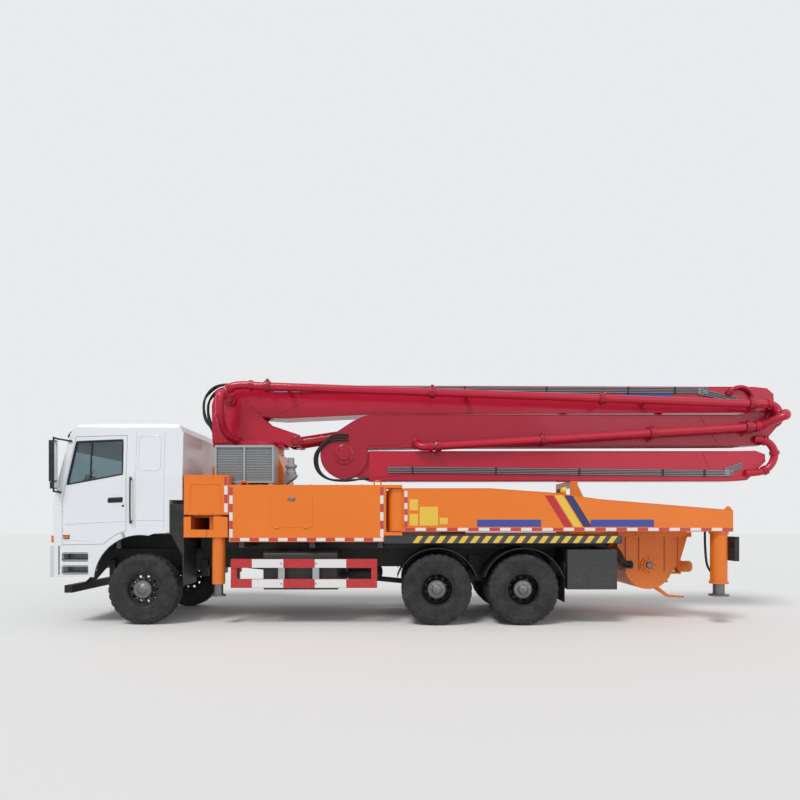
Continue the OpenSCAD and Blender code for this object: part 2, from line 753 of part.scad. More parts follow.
module hopper_tub() {
  difference() {
    union() {
      side_plate(hopper_outline(0), -hop_half, hop_half);
      block([hop_x0, -hop_half - 20, hop_top - 80], [hop_x1, hop_half + 20, hop_top]);
      // bearing housing of the swing tube, at the rear
      translate([4000, 0, 860]) rotate([0, 90, 0]) cylinder(h = 380, r = 110);
      // lever of the bottom flap
      side_plate([[3690, 524], [3770, 548], [3960, 400], [4220, 380], [4220, 350], [3940, 360]], -hop_half + 60, -hop_half + 100);
      // feet on the frame's end
      for (side = [left, right]) on_side(side) block([frame_rear, 350, 900], [3240, 430, 1100]);
    }
    side_plate(concat([[hop_x1 - 40, hop_top + 1], [hop_x0 + 20, hop_top + 1]], hopper_outline(20)), -hop_half + 20, hop_half - 20);
    bar_y(drum_x, drum_z, shaft_r + pin_fit, -hop_half - 30, hop_half + 30);
  }
}

// The grate's two hinge pins with their lugs on the rim
module grate_pins() {
  for (side = [left, right]) on_side(side) {
    block([grate_x0 - 25, hop_half + 19, hop_top - 60], [grate_x0 + 25, hop_half + 40, grate_z + 50]);
    bar_y(grate_x0, grate_z + 25, 10, hop_half - 38, hop_half + 20);
  }
}

shaft_r = 45;

module agitator() {
  color("#6f7478") union() {
    bar_y(drum_x, drum_z, shaft_r, -hop_half - 60, hop_half + 60);
    for (i = [-2 : 2]) translate([drum_x, i * 220, drum_z]) rotate([0, i * 60, 0])
      translate([-20, -30, -330]) cube([40, 60, 660]);
  }
}

grate_x0 = 3410;
grate_x1 = 4220;
grate_z = hop_top + seat_gap;
grate_half = 650;

module hopper_grate() {
  color("#3a3c3e") difference() {
    union() {
      difference() {
        block([grate_x0, -grate_half, grate_z], [grate_x1, grate_half, grate_z + 50]);
        block([grate_x0 + 40, -600, grate_z - 1], [grate_x1 - 40, 600, grate_z + 51]);
      }
      for (side = [left, right]) on_side(side) bar_y(grate_x0, grate_z + 25, 25, 600, grate_half);
      for (i = [1 : 12]) block([grate_x0 + 30, -600 + i * 92 - 5, grate_z + 10], [grate_x1 - 30, -600 + i * 92 + 5, grate_z + 50]);
      for (i = [1 : 2]) block([grate_x0 + i * 266 - 6, -601, grate_z + 10], [grate_x0 + i * 266 + 6, 601, grate_z + 30]);
    }
    for (side = [left, right]) on_side(side) bar_y(grate_x0, grate_z + 25, 10 + pin_fit, 595, grate_half + 5);
  }
}

/* Pump: two delivery cylinders, the water box and the drive cylinders */
pump_z = 1300;
pump_y = 150;

module pump_unit() {
  color("#8b3a1f") union() {
    block([200, -300, sub_z + plate_t], [620, 300, 1500]);
    for (y = [-pump_y, pump_y]) {
      translate([619, y, pump_z]) rotate([0, 90, 0]) cylinder(h = hop_x0 - 619, r = 115);
      translate([-1900, y, pump_z + 60]) rotate([0, 90, 0]) cylinder(h = 2101, r = 75);
    }
    block([-2000, -260, sub_z + plate_t], [-1899, 260, 1480]);
  }
}

/* Turret */
pivot_x = -3400;
ram_x = -2259;
ram_z = 2985;
turret_plate = 36;
turret_y = boom_w / 2 + side_gap;

module turret() {
  plate = [[-3700, 2960], [-3712, 3600], [-3640, 3850], [-3420, 3900], [-3230, 3830], [-3120, 3640], [-2700, 3260],
    [-2200, 3090], [-2190, 2900], [-2400, 2900], [-2500, 2960]];
  color("#c01733") difference() {
    union() {
      for (side = [left, right]) on_side(side) side_plate(plate, turret_y, turret_y + turret_plate);
      translate([slew_x, 0, ring_top + seat_gap]) cylinder(h = 90, r = 480, $fn = 72);
      block([-3700, -turret_y - 1, 2890], [-2480, turret_y + 1, 2961]);
      block([-3700, -turret_y - 1, 2960], [-3660, turret_y + 1, 3420]);
      // pin of the first section, pin of the lifting cylinder
      bar_y(pivot_x, boom_pivot_z, pin_r, -turret_y - 60, turret_y + 60);
      bar_y(ram_x, ram_z, pin_r, -turret_y - 50, turret_y + 50);
    }
    translate([slew_x, 0, 2870]) cylinder(h = 200, r = 150);
  }
}

/* Lifting cylinder */
eye_x = 0;
eye_z = 3330;
ram_angle = atan2(eye_z - ram_z, eye_x - ram_x);
ram_len = norm([eye_x - ram_x, eye_z - ram_z]);
barrel_r = 105;
rod_r = 65;
barrel_end = ram_len - 200;

module along_ram() {
  translate([ram_x, 0, ram_z]) rotate([0, -ram_angle, 0]) children();
}

module luff_barrel() {
  color("#b5142f") along_ram() difference() {
    union() {
      rotate([90, 0, 0]) translate([0, 0, -100]) cylinder(h = 200, r = 100);
      translate([0, 0, 0]) rotate([0, 90, 0]) cylinder(h = barrel_end, r = barrel_r);
    }
    rotate([90, 0, 0]) translate([0, 0, -200]) cylinder(h = 400, r = pin_r + pin_fit);
    translate([140, 0, 0]) rotate([0, 90, 0]) cylinder(h = ram_len, r = rod_r + pin_fit);
  }
}

module luff_rod() {
  color("#d3d6d8") along_ram() union() {
    translate([150, 0, 0]) rotate([0, 90, 0]) cylinder(h = ram_len - 150, r = rod_r);
    translate([ram_len, 0, 0]) rotate([90, 0, 0]) translate([0, 0, -100]) cylinder(h = 200, r = 95);
    translate([ram_len, 0, 0]) rotate([90, 0, 0]) translate([0, 0, -130]) cylinder(h = 260, r = pin_r);
  }
}

/* Boom sections. Hinges: the turret and 1 at pivot, 1 and 2 at b, 2 and 3 at c, 3 and 4 at d */
knuckle_r = 165;
b = [overall_l / 2 - knuckle_r, 3358];
c = [-1434, 2735];
d = [b[0] - 246, 2686];
arm_y0 = -440;
arm_y1 = arm_y0 + arm_w;
arm_mid = (arm_y0 + arm_y1) / 2;
tip_y0 = 255;
fork_t = 40;
nose_r = 400;

module boom_1() {
  outer = [[-3600, 3600], [-3660, 3780], [-3600, 3900], [-3400, 3955], [b[0] - 200, 3925], [b[0] + 20, 3900],
    [b[0] + 130, 3800], [b[0] + 150, 3400], [b[0] - 150, 3400], [b[0] - 400, 3480], [-1000, 3450], [-2500, 3380],
    [-3100, 3420], [-3400, 3560]];
  inner = [[-3050, 3900], [b[0] - 300, 3905], [b[0] - 450, 3510], [-1000, 3470], [-2400, 3410], [-3050, 3450]];
  half = boom_w / 2;
  color("#c01733") difference() {
    union() {
      side_plate(outer, -half, half);
      bar_y(b[0], b[1], knuckle_r, -half, half);
      bar_y(b[0], b[1], pin_r, arm_y0 - 8, half);
      // ears for the lifting cylinder's rod
      for (side = [left, right]) on_side(side)
        side_plate([[eye_x - 260, 3455], [eye_x + 260, 3455], [eye_x + 90, 3230], [eye_x - 90, 3230]], 136, 162);
    }
    side_plate(inner, -half + plate_t, half - plate_t);
    bar_y(pivot_x, boom_pivot_z, pin_r + pin_fit, -half - 10, half + 10);
  }
}

module boom_2() {
  elbow_x = b[0] - 560;
  outer = [[elbow_x, 3410], [-1000, 3420], [-1150, 3370], [-1290, 3300], [c[0], c[1] + 470], [c[0] - 166, c[1] + 360],
    [c[0], c[1]], [c[0] + 330, 2835], [500, 2862], [elbow_x, 2880]];
  inner = [[elbow_x - 30, 3395], [-950, 3400], [-880, 2852], [500, 2875], [elbow_x - 30, 2893]];
  color("#b8152f") union() {
    difference() {
      union() {
        side_plate(outer, arm_y0, arm_y1);
        bar_y(c[0], c[1], nose_r, arm_y0, arm_y1);
        // the elbow up to the first section's knuckle, on the near side only
        side_plate([[elbow_x - 2, 2880], [elbow_x - 2, 3410], [b[0] - 60, b[1] + 150], [b[0], b[1]], [b[0] + 60, b[1] - 150],
          [b[0] - 200, 2900]], arm_y0, -boom_w / 2 - side_gap);
        bar_y(b[0], b[1], knuckle_r, arm_y0, -boom_w / 2 - side_gap);
      }
      side_plate(inner, arm_y0 + plate_t, arm_y1 - plate_t);
      bar_y(b[0], b[1], pin_r + pin_fit, arm_y0 - 10, arm_y1);
      // the fork's slot for the third section's knuckle
      bar_y(c[0], c[1], nose_r + 10, arm_y0 + fork_t, arm_y1 - fork_t);
      block([c[0] - nose_r - 20, arm_y0 + fork_t, c[1] - nose_r - 20], [c[0] + 300, arm_y1 - fork_t, c[1]]);
    }
    bar_y(c[0], c[1], pin_r, arm_y0 + 5, arm_y1 - 5);
  }
}

module boom_3() {
  y0 = arm_y0 + fork_t + side_gap;
  y1 = arm_y1 - fork_t - side_gap;
  outer = [[c[0] + nose_r + 20, 2800], [d[0] - 500, 2800], [d[0] - 60, d[1] + 120], [d[0] + 100, d[1] + 60], [d[0] + 110, d[1] - 60],
    [d[0] - 200, 2310], [d[0] - 500, packet_z],
    [c[0] + nose_r + 20, packet_z]];
  inner = [[c[0] + 520, 2788], [d[0] - 520, 2788], [d[0] - 520, packet_z + plate_t], [c[0] + 520, packet_z + plate_t]];
  color("#c01733") difference() {
    union() {
      side_plate(outer, arm_y0, arm_y1);
      side_plate([[c[0] + nose_r + 22, 2799], [c[0] + nose_r + 22, packet_z], [c[0] - 60, c[1] - 290], [c[0], c[1]], [c[0] + 260, c[1]]],
        y0, y1);
      bar_y(c[0], c[1], 300, y0, y1);
      // the cross tube and pin that carry the fourth section on the far side
      bar_y(d[0], d[1], 100, arm_y1 - 1, tip_y0 - side_gap);
      bar_y(d[0], d[1], pin_r, tip_y0 - side_gap - 1, tip_y0 + tip_w + 8);
    }
    side_plate(inner, arm_y0 + plate_t, arm_y1 - plate_t);
    bar_y(c[0], c[1], pin_r + pin_fit, arm_y0 - 10, arm_y1 + 10);
  }
}

module boom_4() {
  outer = [[d[0] + 20, d[1] - 130], [d[0] - 400, d[1] - 160], [-1250, d[1] - 70], [-1250, d[1] + 70], [d[0] - 400, d[1] + 150],
    [d[0] + 20, d[1] + 130]];
  inner = [[d[0] - 300, d[1] - 145], [-1180, d[1] - 58], [-1180, d[1] + 58], [d[0] - 300, d[1] + 135]];
  color("#b8152f") difference() {
    union() {
      side_plate(outer, tip_y0, tip_y0 + tip_w);
      bar_y(d[0], d[1], 140, tip_y0, tip_y0 + tip_w);
    }
    side_plate(inner, tip_y0 + plate_t, tip_y0 + tip_w - plate_t);
    bar_y(d[0], d[1], pin_r + pin_fit, tip_y0 - 10, tip_y0 + tip_w + 10);
  }
}

/* Delivery pipes, each on its own section */
pipe_r = 68;
pipe_y = -545;
flange_r = pipe_r + 22;

function pipe_height(ends, x) = ends[0][1] + (ends[1][1] - ends[0][1]) * (x - ends[0][0]) / (ends[1][0] - ends[0][0]);

// A straight pipe between two ends in X and Z, with its couplings and the brackets at the given X
module pipe_run(ends, brackets, wall_y) {
  run = ends[1] - ends[0];
  color("#c2203a") union() {
    translate([ends[0][0], pipe_y, ends[0][1]]) rotate([0, 90 - atan2(run[1], run[0]), 0]) {
      cylinder(h = norm(run), r = pipe_r);
      for (f = [0.02, 0.34, 0.67, 0.96]) translate([0, 0, norm(run) * f]) cylinder(h = 60, r = flange_r);
    }
    for (x = brackets) block([x, pipe_y + 20, pipe_height(ends, x) - 40], [x + 60, wall_y, pipe_height(ends, x) + 30]);
  }
}

module pipe_1() {
  pipe_run([[-2900, 3870], [b[0] - 120, 3560]], [-2400, 600, 3600], -boom_w / 2);
}

module pipe_2() {
  pipe_run([[0, 2860], [b[0] - 300, 3200]], [700, 4300], arm_y0);
}

/* Cylinder that opens the second section, lying below the first */
// Height of the first section's underside
function belly_z(x) = 3450 + 30 * (x + 1000) / (b[0] - 400 + 1000);

module ram_2() {
  ram_y = 60;
  color("#8f1026") union() {
    translate([2300, ram_y, 3320]) rotate([0, 90, 0]) cylinder(h = 1900, r = 80);
    translate([4150, ram_y, 3320]) rotate([0, 90, 0]) cylinder(h = 1150, r = 50);
    for (x = [2320, 4000])
      side_plate([[x, 3330], [x + 100, 3330], [x + 100, belly_z(x + 100) - seat_gap], [x, belly_z(x) - seat_gap]], ram_y - 60, ram_y + 60);
  }
}

front_tyre(left);  // tyre_fl
front_tyre(right);  // tyre_fr
twin_tyres(rear_x[0], left);  // tyre_ml
twin_tyres(rear_x[0], right);  // tyre_mr
twin_tyres(rear_x[1], left);  // tyre_rl
twin_tyres(rear_x[1], right);  // tyre_rr
front_rim(left);  // rim_fl
front_rim(right);  // rim_fr
twin_rim(rear_x[0], left);  // rim_ml
twin_rim(rear_x[0], right);  // rim_mr
twin_rim(rear_x[1], left);  // rim_rl
twin_rim(rear_x[1], right);  // rim_rr
knuckle(left);  // knuckle_l
knuckle(right);  // knuckle_r
chassis_frame();
axles();
springs();
powertrain();
fuel_tanks();
water_tanks();
side_guards();
mudguards();
cab_shell();
door(left);  // door_l
door(right);  // door_r
seats();
dashboard();
bumper();
mirrors();
deck();
side_boxes();
pedestal();
oil_cooler();
leg_housing();
leg_brackets();
boom_rest();
hopper();
hopper_grate();
agitator();
pump_unit();
front_arm(left, arm_x[0]);  // front_arm_l
front_arm(right, arm_x[1]);  // front_arm_r
rear_beam(left);  // rear_beam_l
rear_beam(right);  // rear_beam_r
front_jack(left, arm_x[0]);  // jack_fl
front_jack(right, arm_x[1]);  // jack_fr
rear_jack(left);  // jack_rl
rear_jack(right);  // jack_rr
turret();
luff_barrel();
luff_rod();
boom_1();
boom_2();
boom_3();
boom_4();
pipe_1();
pipe_2();
ram_2();
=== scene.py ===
"""Looks of a concrete pump truck: finishes for its solids, and the pieces that dress them.
Metres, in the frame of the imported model: +X to the rear, +Z up, the left side at -Y."""
import json
import math

import bmesh
import bpy
from mathutils import Matrix, Vector


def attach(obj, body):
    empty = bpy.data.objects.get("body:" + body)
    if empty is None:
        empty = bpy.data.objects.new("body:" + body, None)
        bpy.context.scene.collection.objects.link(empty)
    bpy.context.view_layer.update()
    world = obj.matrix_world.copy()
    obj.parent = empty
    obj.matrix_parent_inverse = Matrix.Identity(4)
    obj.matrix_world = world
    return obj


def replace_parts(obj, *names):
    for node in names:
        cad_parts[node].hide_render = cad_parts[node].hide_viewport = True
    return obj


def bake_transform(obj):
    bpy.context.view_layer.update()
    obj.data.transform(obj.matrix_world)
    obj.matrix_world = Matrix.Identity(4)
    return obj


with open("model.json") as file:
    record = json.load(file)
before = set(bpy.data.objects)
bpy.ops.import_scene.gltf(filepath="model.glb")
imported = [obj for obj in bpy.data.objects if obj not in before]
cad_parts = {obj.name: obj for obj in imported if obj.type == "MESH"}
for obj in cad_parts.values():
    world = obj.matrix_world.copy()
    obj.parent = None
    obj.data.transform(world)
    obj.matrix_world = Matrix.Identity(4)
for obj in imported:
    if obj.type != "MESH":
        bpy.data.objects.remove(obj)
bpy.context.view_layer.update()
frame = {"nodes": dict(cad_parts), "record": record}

LEFT, RIGHT = -1, 1
SIDES = ((LEFT, "left"), (RIGHT, "right"))
FRONT_AXLE = -4.52
REAR_AXLES = (0.08, 1.43)
TYRE_R = 0.555
BODY_SIDE = 1.25     # half the width over the side boxes
BEAM_FACE = 1.2505   # just outside the rear beams and the leg housing
CAB_FACE = 1.2405    # just outside the cab's upright side


# ---------------------------------------------------------------- finishes
def linear(shade):
    parts = [int(shade[i:i + 2], 16) / 255 for i in (1, 3, 5)]
    return [c / 12.92 if c <= 0.04045 else ((c + 0.055) / 1.055) ** 2.4 for c in parts] + [1.0]


def add(tree, kind, sockets=None, **settings):
    """One node with its settings, its sockets set or linked."""
    node = tree.nodes.new("ShaderNode" + kind)
    for name, value in settings.items():
        setattr(node, name, value)
    for name, value in (sockets or {}).items():
        if isinstance(value, bpy.types.NodeSocket):
            tree.links.new(value, node.inputs[name])
        else:
            node.inputs[name].default_value = value
    return node


def start_finish(name):
    mat = bpy.data.materials.new(name)
    mat.use_nodes = True
    tree = mat.node_tree
    tree.nodes.clear()
    return mat, tree, add(tree, "TexCoord").outputs["Object"]


def close_finish(tree, sockets):
    shader = add(tree, "BsdfPrincipled", sockets)
    add(tree, "OutputMaterial", {"Surface": shader.outputs["BSDF"]})


def enamel(name, shade, chalked, dust, coat=0.2, rough=0.34, dust_top=1.5, gloss=0.4):
    """Sprayed two-pack enamel over plate: glossy, a little chalked by the sun, road dust low down,
    orange peel drawn at 12 mm, coarser than the real 2 mm so that it shows."""
    mat, tree, place = start_finish(name)
    weathering = add(tree, "TexNoise", {"Vector": place, "Scale": 1.6, "Detail": 4.0, "Roughness": 0.6})
    faded = add(tree, "Mix", {0: weathering.outputs["Fac"], 6: linear(shade), 7: linear(chalked)},
                data_type="RGBA")
    height = add(tree, "SeparateXYZ", {"Vector": place}).outputs["Z"]
    low_down = add(tree, "MapRange", {"Value": height, "From Min": 0.4, "From Max": dust_top, "To Min": 0.55,
                                      "To Max": 0.06})
    specks = add(tree, "TexNoise", {"Vector": place, "Scale": 22.0, "Detail": 8.0, "Roughness": 0.75})
    clump = add(tree, "MapRange", {"Value": specks.outputs["Fac"], "From Min": 0.42, "From Max": 0.75})
    dusty = add(tree, "Math", {0: low_down.outputs["Result"], 1: clump.outputs["Result"]}, operation="MULTIPLY")
    colour = add(tree, "Mix", {0: dusty.outputs[0], 6: faded.outputs[2], 7: linear(dust)},
                data_type="RGBA")
    dulled = add(tree, "MapRange", {"Value": dusty.outputs[0], "To Min": rough, "To Max": 0.8})
    peel = add(tree, "TexNoise", {"Vector": place, "Scale": 85.0, "Detail": 2.0})
    rounded = add(tree, "Bevel", {"Radius": 0.006}, samples=4)
    skin = add(tree, "Bump", {"Height": peel.outputs["Fac"], "Strength": 0.05, "Distance": 0.002,
                              "Normal": rounded.outputs["Normal"]})
    close_finish(tree, {"Base Color": colour.outputs[2], "Roughness": dulled.outputs["Result"],
                        "Normal": skin.outputs["Normal"], "Coat Weight": coat, "Coat Roughness": 0.08, "IOR": 1.5,
                        "Specular IOR Level": gloss})
    return mat


def moulded(name, shade, grain=60.0, rough=0.55, share=0.25):
    """Moulded plastic or tyre rubber: dull, with dust in the hollows. The leather grain is a millimetre wide in
    the real one, and is drawn at about 15 mm so that it shows."""
    mat, tree, place = start_finish(name)
    cells = add(tree, "TexVoronoi", {"Vector": place, "Scale": grain})
    cloud = add(tree, "TexNoise", {"Vector": place, "Scale": 6.0, "Detail": 7.0, "Roughness": 0.7})
    amount = add(tree, "MapRange", {"Value": cloud.outputs["Fac"], "From Min": 0.4, "From Max": 0.8, "To Max": share})
    colour = add(tree, "Mix", {0: amount.outputs["Result"], 6: linear(shade), 7: linear("#6b655c")},
                data_type="RGBA")
    skin = add(tree, "Bump", {"Height": cells.outputs["Distance"], "Strength": 0.15, "Distance": 0.002})
    close_finish(tree, {"Base Color": colour.outputs[2], "Roughness": rough, "Normal": skin.outputs["Normal"],
                        "IOR": 1.5, "Specular IOR Level": 0.4})
    return mat


def bare_metal(name, shade, rough=0.25, streak=0.35):
    """Bare or plated steel: full metal, with drawing marks that run along the piece. They are finer than 1 mm in
    the real one, and are drawn 9 mm apart so that they show."""
    mat, tree, place = start_finish(name)
    drawn = add(tree, "Mapping", {"Vector": place, "Scale": (1.0, 12.0, 12.0)})
    marks = add(tree, "TexNoise", {"Vector": drawn.outputs["Vector"], "Scale": 9.0, "Detail": 5.0})
    finish = add(tree, "MapRange", {"Value": marks.outputs["Fac"], "To Min": rough * (1 - streak),
                                    "To Max": rough * (1 + streak)})
    tint = add(tree, "MapRange", {"Value": marks.outputs["Fac"], "To Min": 0.0, "To Max": 0.35})
    colour = add(tree, "Mix", {0: tint.outputs["Result"], 6: linear(shade), 7: linear("#6f7072")},
                data_type="RGBA")
    close_finish(tree, {"Base Color": colour.outputs[2], "Metallic": 1.0, "Roughness": finish.outputs["Result"]})
    return mat


def sheeting(name, shade):
    """Reflective tape: printed film over small prisms, drawn as 4 mm cells that catch the light."""
    mat, tree, place = start_finish(name)
    prisms = add(tree, "TexVoronoi", {"Vector": place, "Scale": 240.0}, distance="CHEBYCHEV")
    tone = add(tree, "MapRange", {"Value": prisms.outputs["Distance"], "To Min": 0.0, "To Max": 0.3})
    colour = add(tree, "Mix", {0: tone.outputs["Result"], 6: linear(shade), 7: linear("#8d8d8d")},
                data_type="RGBA")
    skin = add(tree, "Bump", {"Height": prisms.outputs["Distance"], "Strength": 0.12, "Distance": 0.002})
    close_finish(tree, {"Base Color": colour.outputs[2], "Roughness": 0.35, "Coat Weight": 0.4,
                        "Normal": skin.outputs["Normal"], "IOR": 1.49})
    return mat


def glazing(name, shade, rough=0.02, clear=0.85):
    """Toughened glass or lamp lens: tinted, with a faint film of dirt."""
    mat, tree, place = start_finish(name)
    film = add(tree, "TexNoise", {"Vector": place, "Scale": 3.0, "Detail": 6.0})
    dirt = add(tree, "MapRange", {"Value": film.outputs["Fac"], "To Min": rough, "To Max": rough + 0.08})
    close_finish(tree, {"Base Color": linear(shade), "Roughness": dirt.outputs["Result"],
                        "Transmission Weight": clear, "IOR": 1.45})
    return mat


def upholstery(name, shade):
    """Woven seat cloth: ribs drawn at 12 mm over the real 2 mm, soft sheen."""
    mat, tree, place = start_finish(name)
    ribs = add(tree, "TexWave", {"Vector": place, "Scale": 26.0, "Distortion": 1.0}, bands_direction="Y")
    weave = add(tree, "TexNoise", {"Vector": place, "Scale": 120.0, "Detail": 3.0})
    tone = add(tree, "Mix", {0: weave.outputs["Fac"], 6: linear(shade), 7: linear("#4b5058")},
                data_type="RGBA")
    skin = add(tree, "Bump", {"Height": ribs.outputs["Fac"], "Strength": 0.3, "Distance": 0.004})
    close_finish(tree, {"Base Color": tone.outputs[2], "Roughness": 0.9, "Normal": skin.outputs["Normal"],
                        "Sheen Weight": 0.3, "IOR": 1.5})
    return mat


# sprayed paint: strong, slightly uneven colour that greys towards the road
ORANGE = enamel("orange_enamel", "#e46f12", "#e97d22", "#94744e")
CRIMSON = enamel("crimson_enamel", "#b40c2e", "#be1a3a", "#84484c", coat=0.3, rough=0.3, gloss=0.3)
# a darker copy of the same crimson paint: painted shade, not a second colour on the real boom
CRIMSON_PAINTED_SHADE = enamel("crimson_enamel_painted_shade", "#9c0a28", "#a81633", "#784448", coat=0.3, rough=0.32, gloss=0.3)
WHITE = enamel("white_cab_enamel", "#dcdfe3", "#e5e7e9", "#a49a8b", coat=0.4, rough=0.28, dust_top=1.4)
GUARD_RED = enamel("red_guard_enamel", "#b51722", "#c02a30", "#8a6a5e")
SATIN_BLACK = enamel("satin_black_chassis_paint", "#17181a", "#232427", "#5a5248", coat=0.0, rough=0.5)
DARK_GREY = enamel("dark_grey_deck_paint", "#2a2c2f", "#35373a", "#665e53", coat=0.1, rough=0.5)
PALE_GREY = enamel("pale_grey_bumper_paint", "#c9cbcc", "#d5d6d6", "#938a7c", coat=0.3, rough=0.35)
COOLER_GREY = enamel("grey_cooler_paint", "#9aa0a2", "#a7abac", "#85807a", coat=0.1, rough=0.45)
PUMP_BROWN = enamel("brown_primer", "#5d2a18", "#6e3a26", "#6b5a4b", coat=0.0, rough=0.6)
YELLOW = enamel("yellow_enamel", "#e8b21c", "#efc03a", "#9a875c")
NAVY = enamel("navy_enamel", "#1d2a5e", "#27356a", "#5c5a62")
PLATE_BLUE = enamel("blue_plate_enamel", "#2b3f96", "#3950a2", "#6a6b80")
# rubber and plastic: near black, and never a mirror
TYRE = moulded("tyre_rubber", "#1d1e20", grain=45.0, rough=0.75, share=0.35)
HOSE = moulded("braided_hose_rubber", "#161719", grain=110.0, rough=0.5, share=0.12)
BLACK = moulded("moulded_black_plastic", "#191a1c", rough=0.45)
# metal: the only finish that throws back the pale room, sharply from chrome and softly from worn steel
ROD = bare_metal("hard_chrome_rod", "#d9dbdd", rough=0.12)
STEEL = bare_metal("worn_steel", "#7b7c7e", rough=0.45, streak=0.5)
ZINC = bare_metal("zinc_plated_tube", "#8b8e93", rough=0.42)
# film and tape: flat colour with a sparkle from the cells
TAPE_WHITE = sheeting("white_reflective_tape", "#e6e6e4")
TAPE_RED = sheeting("red_reflective_tape", "#c01a20")
TAPE_YELLOW = sheeting("yellow_marking_film", "#ecc11f")
TAPE_BLACK = sheeting("black_marking_film", "#1c1c1e")
# glass and lenses: clear to look through, or deep in colour with a hard gleam
GLASS = glazing("tinted_cab_glass", "#a9bcc2", clear=0.92)
LENS_CLEAR = glazing("clear_lamp_lens", "#eef2f4", clear=0.8)
LENS_AMBER = glazing("amber_lamp_lens", "#f08a12", rough=0.12, clear=0.35)
LENS_RED = glazing("red_lamp_lens", "#c21418", rough=0.12, clear=0.35)
CLOTH = upholstery("seat_cloth", "#2c2f34")
MIRROR = bare_metal("mirror_silver", "#e9edf0", rough=0.03, streak=0.1)

FINISH_OF_SLOT = {
    "tyre_rubber": TYRE, "wheel_steel": SATIN_BLACK, "chassis_black": SATIN_BLACK, "dark_grey": DARK_GREY,
    "guard_red": GUARD_RED, "black_plastic": BLACK, "cab_white": WHITE, "seat_fabric": CLOTH,
    "bumper_grey": PALE_GREY, "body_orange": ORANGE, "cooler_grey": COOLER_GREY, "worn_steel": STEEL,
    "bright_rod": ROD, "pump_brown": PUMP_BROWN, "boom_crimson": CRIMSON,
}
for part in frame["record"]["subparts"]:
    solid = frame["nodes"][part["node"]]
    finish = FINISH_OF_SLOT[part["material_slot"]]
    # the second and fourth sections take the darker crimson, which is painted shade on the boom's one red
    if part["node"] in ("boom_2", "boom_4"):
        finish = CRIMSON_PAINTED_SHADE
    if part["node"].startswith("jack_"):
        finish = STEEL
    if not solid.material_slots:
        solid.data.materials.append(finish)
    for place_for_finish in solid.material_slots:
        place_for_finish.material = finish


# ---------------------------------------------------------------- shaping
def slab(bm, low, high):
    """A box between two corners."""
    corners = [bm.verts.new((x, y, z)) for x in (low[0], high[0]) for y in (low[1], high[1])
               for z in (low[2], high[2])]
    for q in ((0, 1, 3, 2), (4, 6, 7, 5), (0, 4, 5, 1), (2, 3, 7, 6), (0, 2, 6, 4), (1, 5, 7, 3)):
        bm.faces.new([corners[i] for i in q])


def panel(bm, outline, y0, y1):
    """A flat plate drawn in X and Z, with its thickness along Y."""
    near = [bm.verts.new((x, y0, z)) for x, z in outline]
    far = [bm.verts.new((x, y1, z)) for x, z in outline]
    bm.faces.new(near)
    bm.faces.new(far[::-1])
    for i in range(len(outline)):
        j = (i + 1) % len(outline)
        bm.faces.new((near[j], near[i], far[i], far[j]))


def turned(bm, centre, axis, profile, steps=32, low=None):
    """A turned form: profile holds (radius, distance along the axis); low(i, j) gives a point's depth of cut."""
    axis = Vector(axis).normalized()
    across = axis.orthogonal().normalized()
    up = axis.cross(across)
    rings = []
    for j, (radius, along) in enumerate(profile):
        if radius < 1e-6:
            rings.append([bm.verts.new(Vector(centre) + axis * along)])
            continue
        ring = []
        for i in range(steps):
            a = 2 * math.pi * i / steps
            r = radius - (low(i, j) if low else 0.0)
            ring.append(bm.verts.new(Vector(centre) + axis * along + (across * math.cos(a) + up * math.sin(a)) * r))
        rings.append(ring)
    for one, two in zip(rings, rings[1:]):
        for i in range(steps):
            j = (i + 1) % steps
            if len(one) == 1 and len(two) > 1:
                bm.faces.new((one[0], two[j], two[i]))
            elif len(two) == 1 and len(one) > 1:
                bm.faces.new((one[i], one[j], two[0]))
            elif len(one) > 1:
                bm.faces.new((one[i], one[j], two[j], two[i]))
    return rings


def smooth_line(points, between=6):
    """Points on one smooth curve through the given ones."""
    points = [Vector(p) for p in points]
    if len(points) < 3:
        return points
    padded = [points[0] * 2 - points[1], *points, points[-1] * 2 - points[-2]]
    line = []
    for a, b, c, d in zip(padded, padded[1:], padded[2:], padded[3:]):
        for k in range(between):
            t = k / between
            line.append(0.5 * (2 * b + (c - a) * t + (2 * a - 5 * b + 4 * c - d) * t * t
                               + (3 * b - a - 3 * c + d) * t ** 3))
    return line + [points[-1]]


def tube(bm, points, radius, steps=12):
    """A closed tube along the points, with flat ends."""
    points = [Vector(p) for p in points]
    heading = (points[1] - points[0]).normalized()
    side = heading.orthogonal().normalized()
    rings = []
    for k, point in enumerate(points):
        ahead = (points[min(k + 1, len(points) - 1)] - points[max(k - 1, 0)]).normalized()
        side = (side - ahead * side.dot(ahead)).normalized()
        up = ahead.cross(side)
        rings.append([bm.verts.new(point + (side * math.cos(2 * math.pi * i / steps)
                                            + up * math.sin(2 * math.pi * i / steps)) * radius)
                      for i in range(steps)])
    for one, two in zip(rings, rings[1:]):
        for i in range(steps):
            j = (i + 1) % steps
            bm.faces.new((one[i], one[j], two[j], two[i]))
    bm.faces.new(rings[0][::-1])
    bm.faces.new(rings[-1])


def curved(bm, points, radius, steps=12, between=6):
    """A tube along the smooth curve through the points."""
    tube(bm, smooth_line(points, between), radius, steps)


def hexagon(bm, centre, axis, across_flats, height):
    """A nut with its chamfer and the stud's end."""
    r = across_flats / math.sqrt(3)
    turned(bm, centre, axis, [(0, 0), (r, 0), (r, height * 0.8), (r * 0.86, height), (r * 0.5, height),
                              (r * 0.5, height * 1.5), (0, height * 1.5)], steps=6)


def bolt_circle(bm, centre, axis, radius, count, across_flats, height, first=0.0):
    """Nuts on a circle round an axis along X or Y."""
    x, y, z = centre
    for i in range(count):
        a = 2 * math.pi * i / count + first
        across, up = radius * math.cos(a), radius * math.sin(a)
        hexagon(bm, (x, y + across, z + up) if axis[0] else (x + across, y, z + up), axis, across_flats, height)


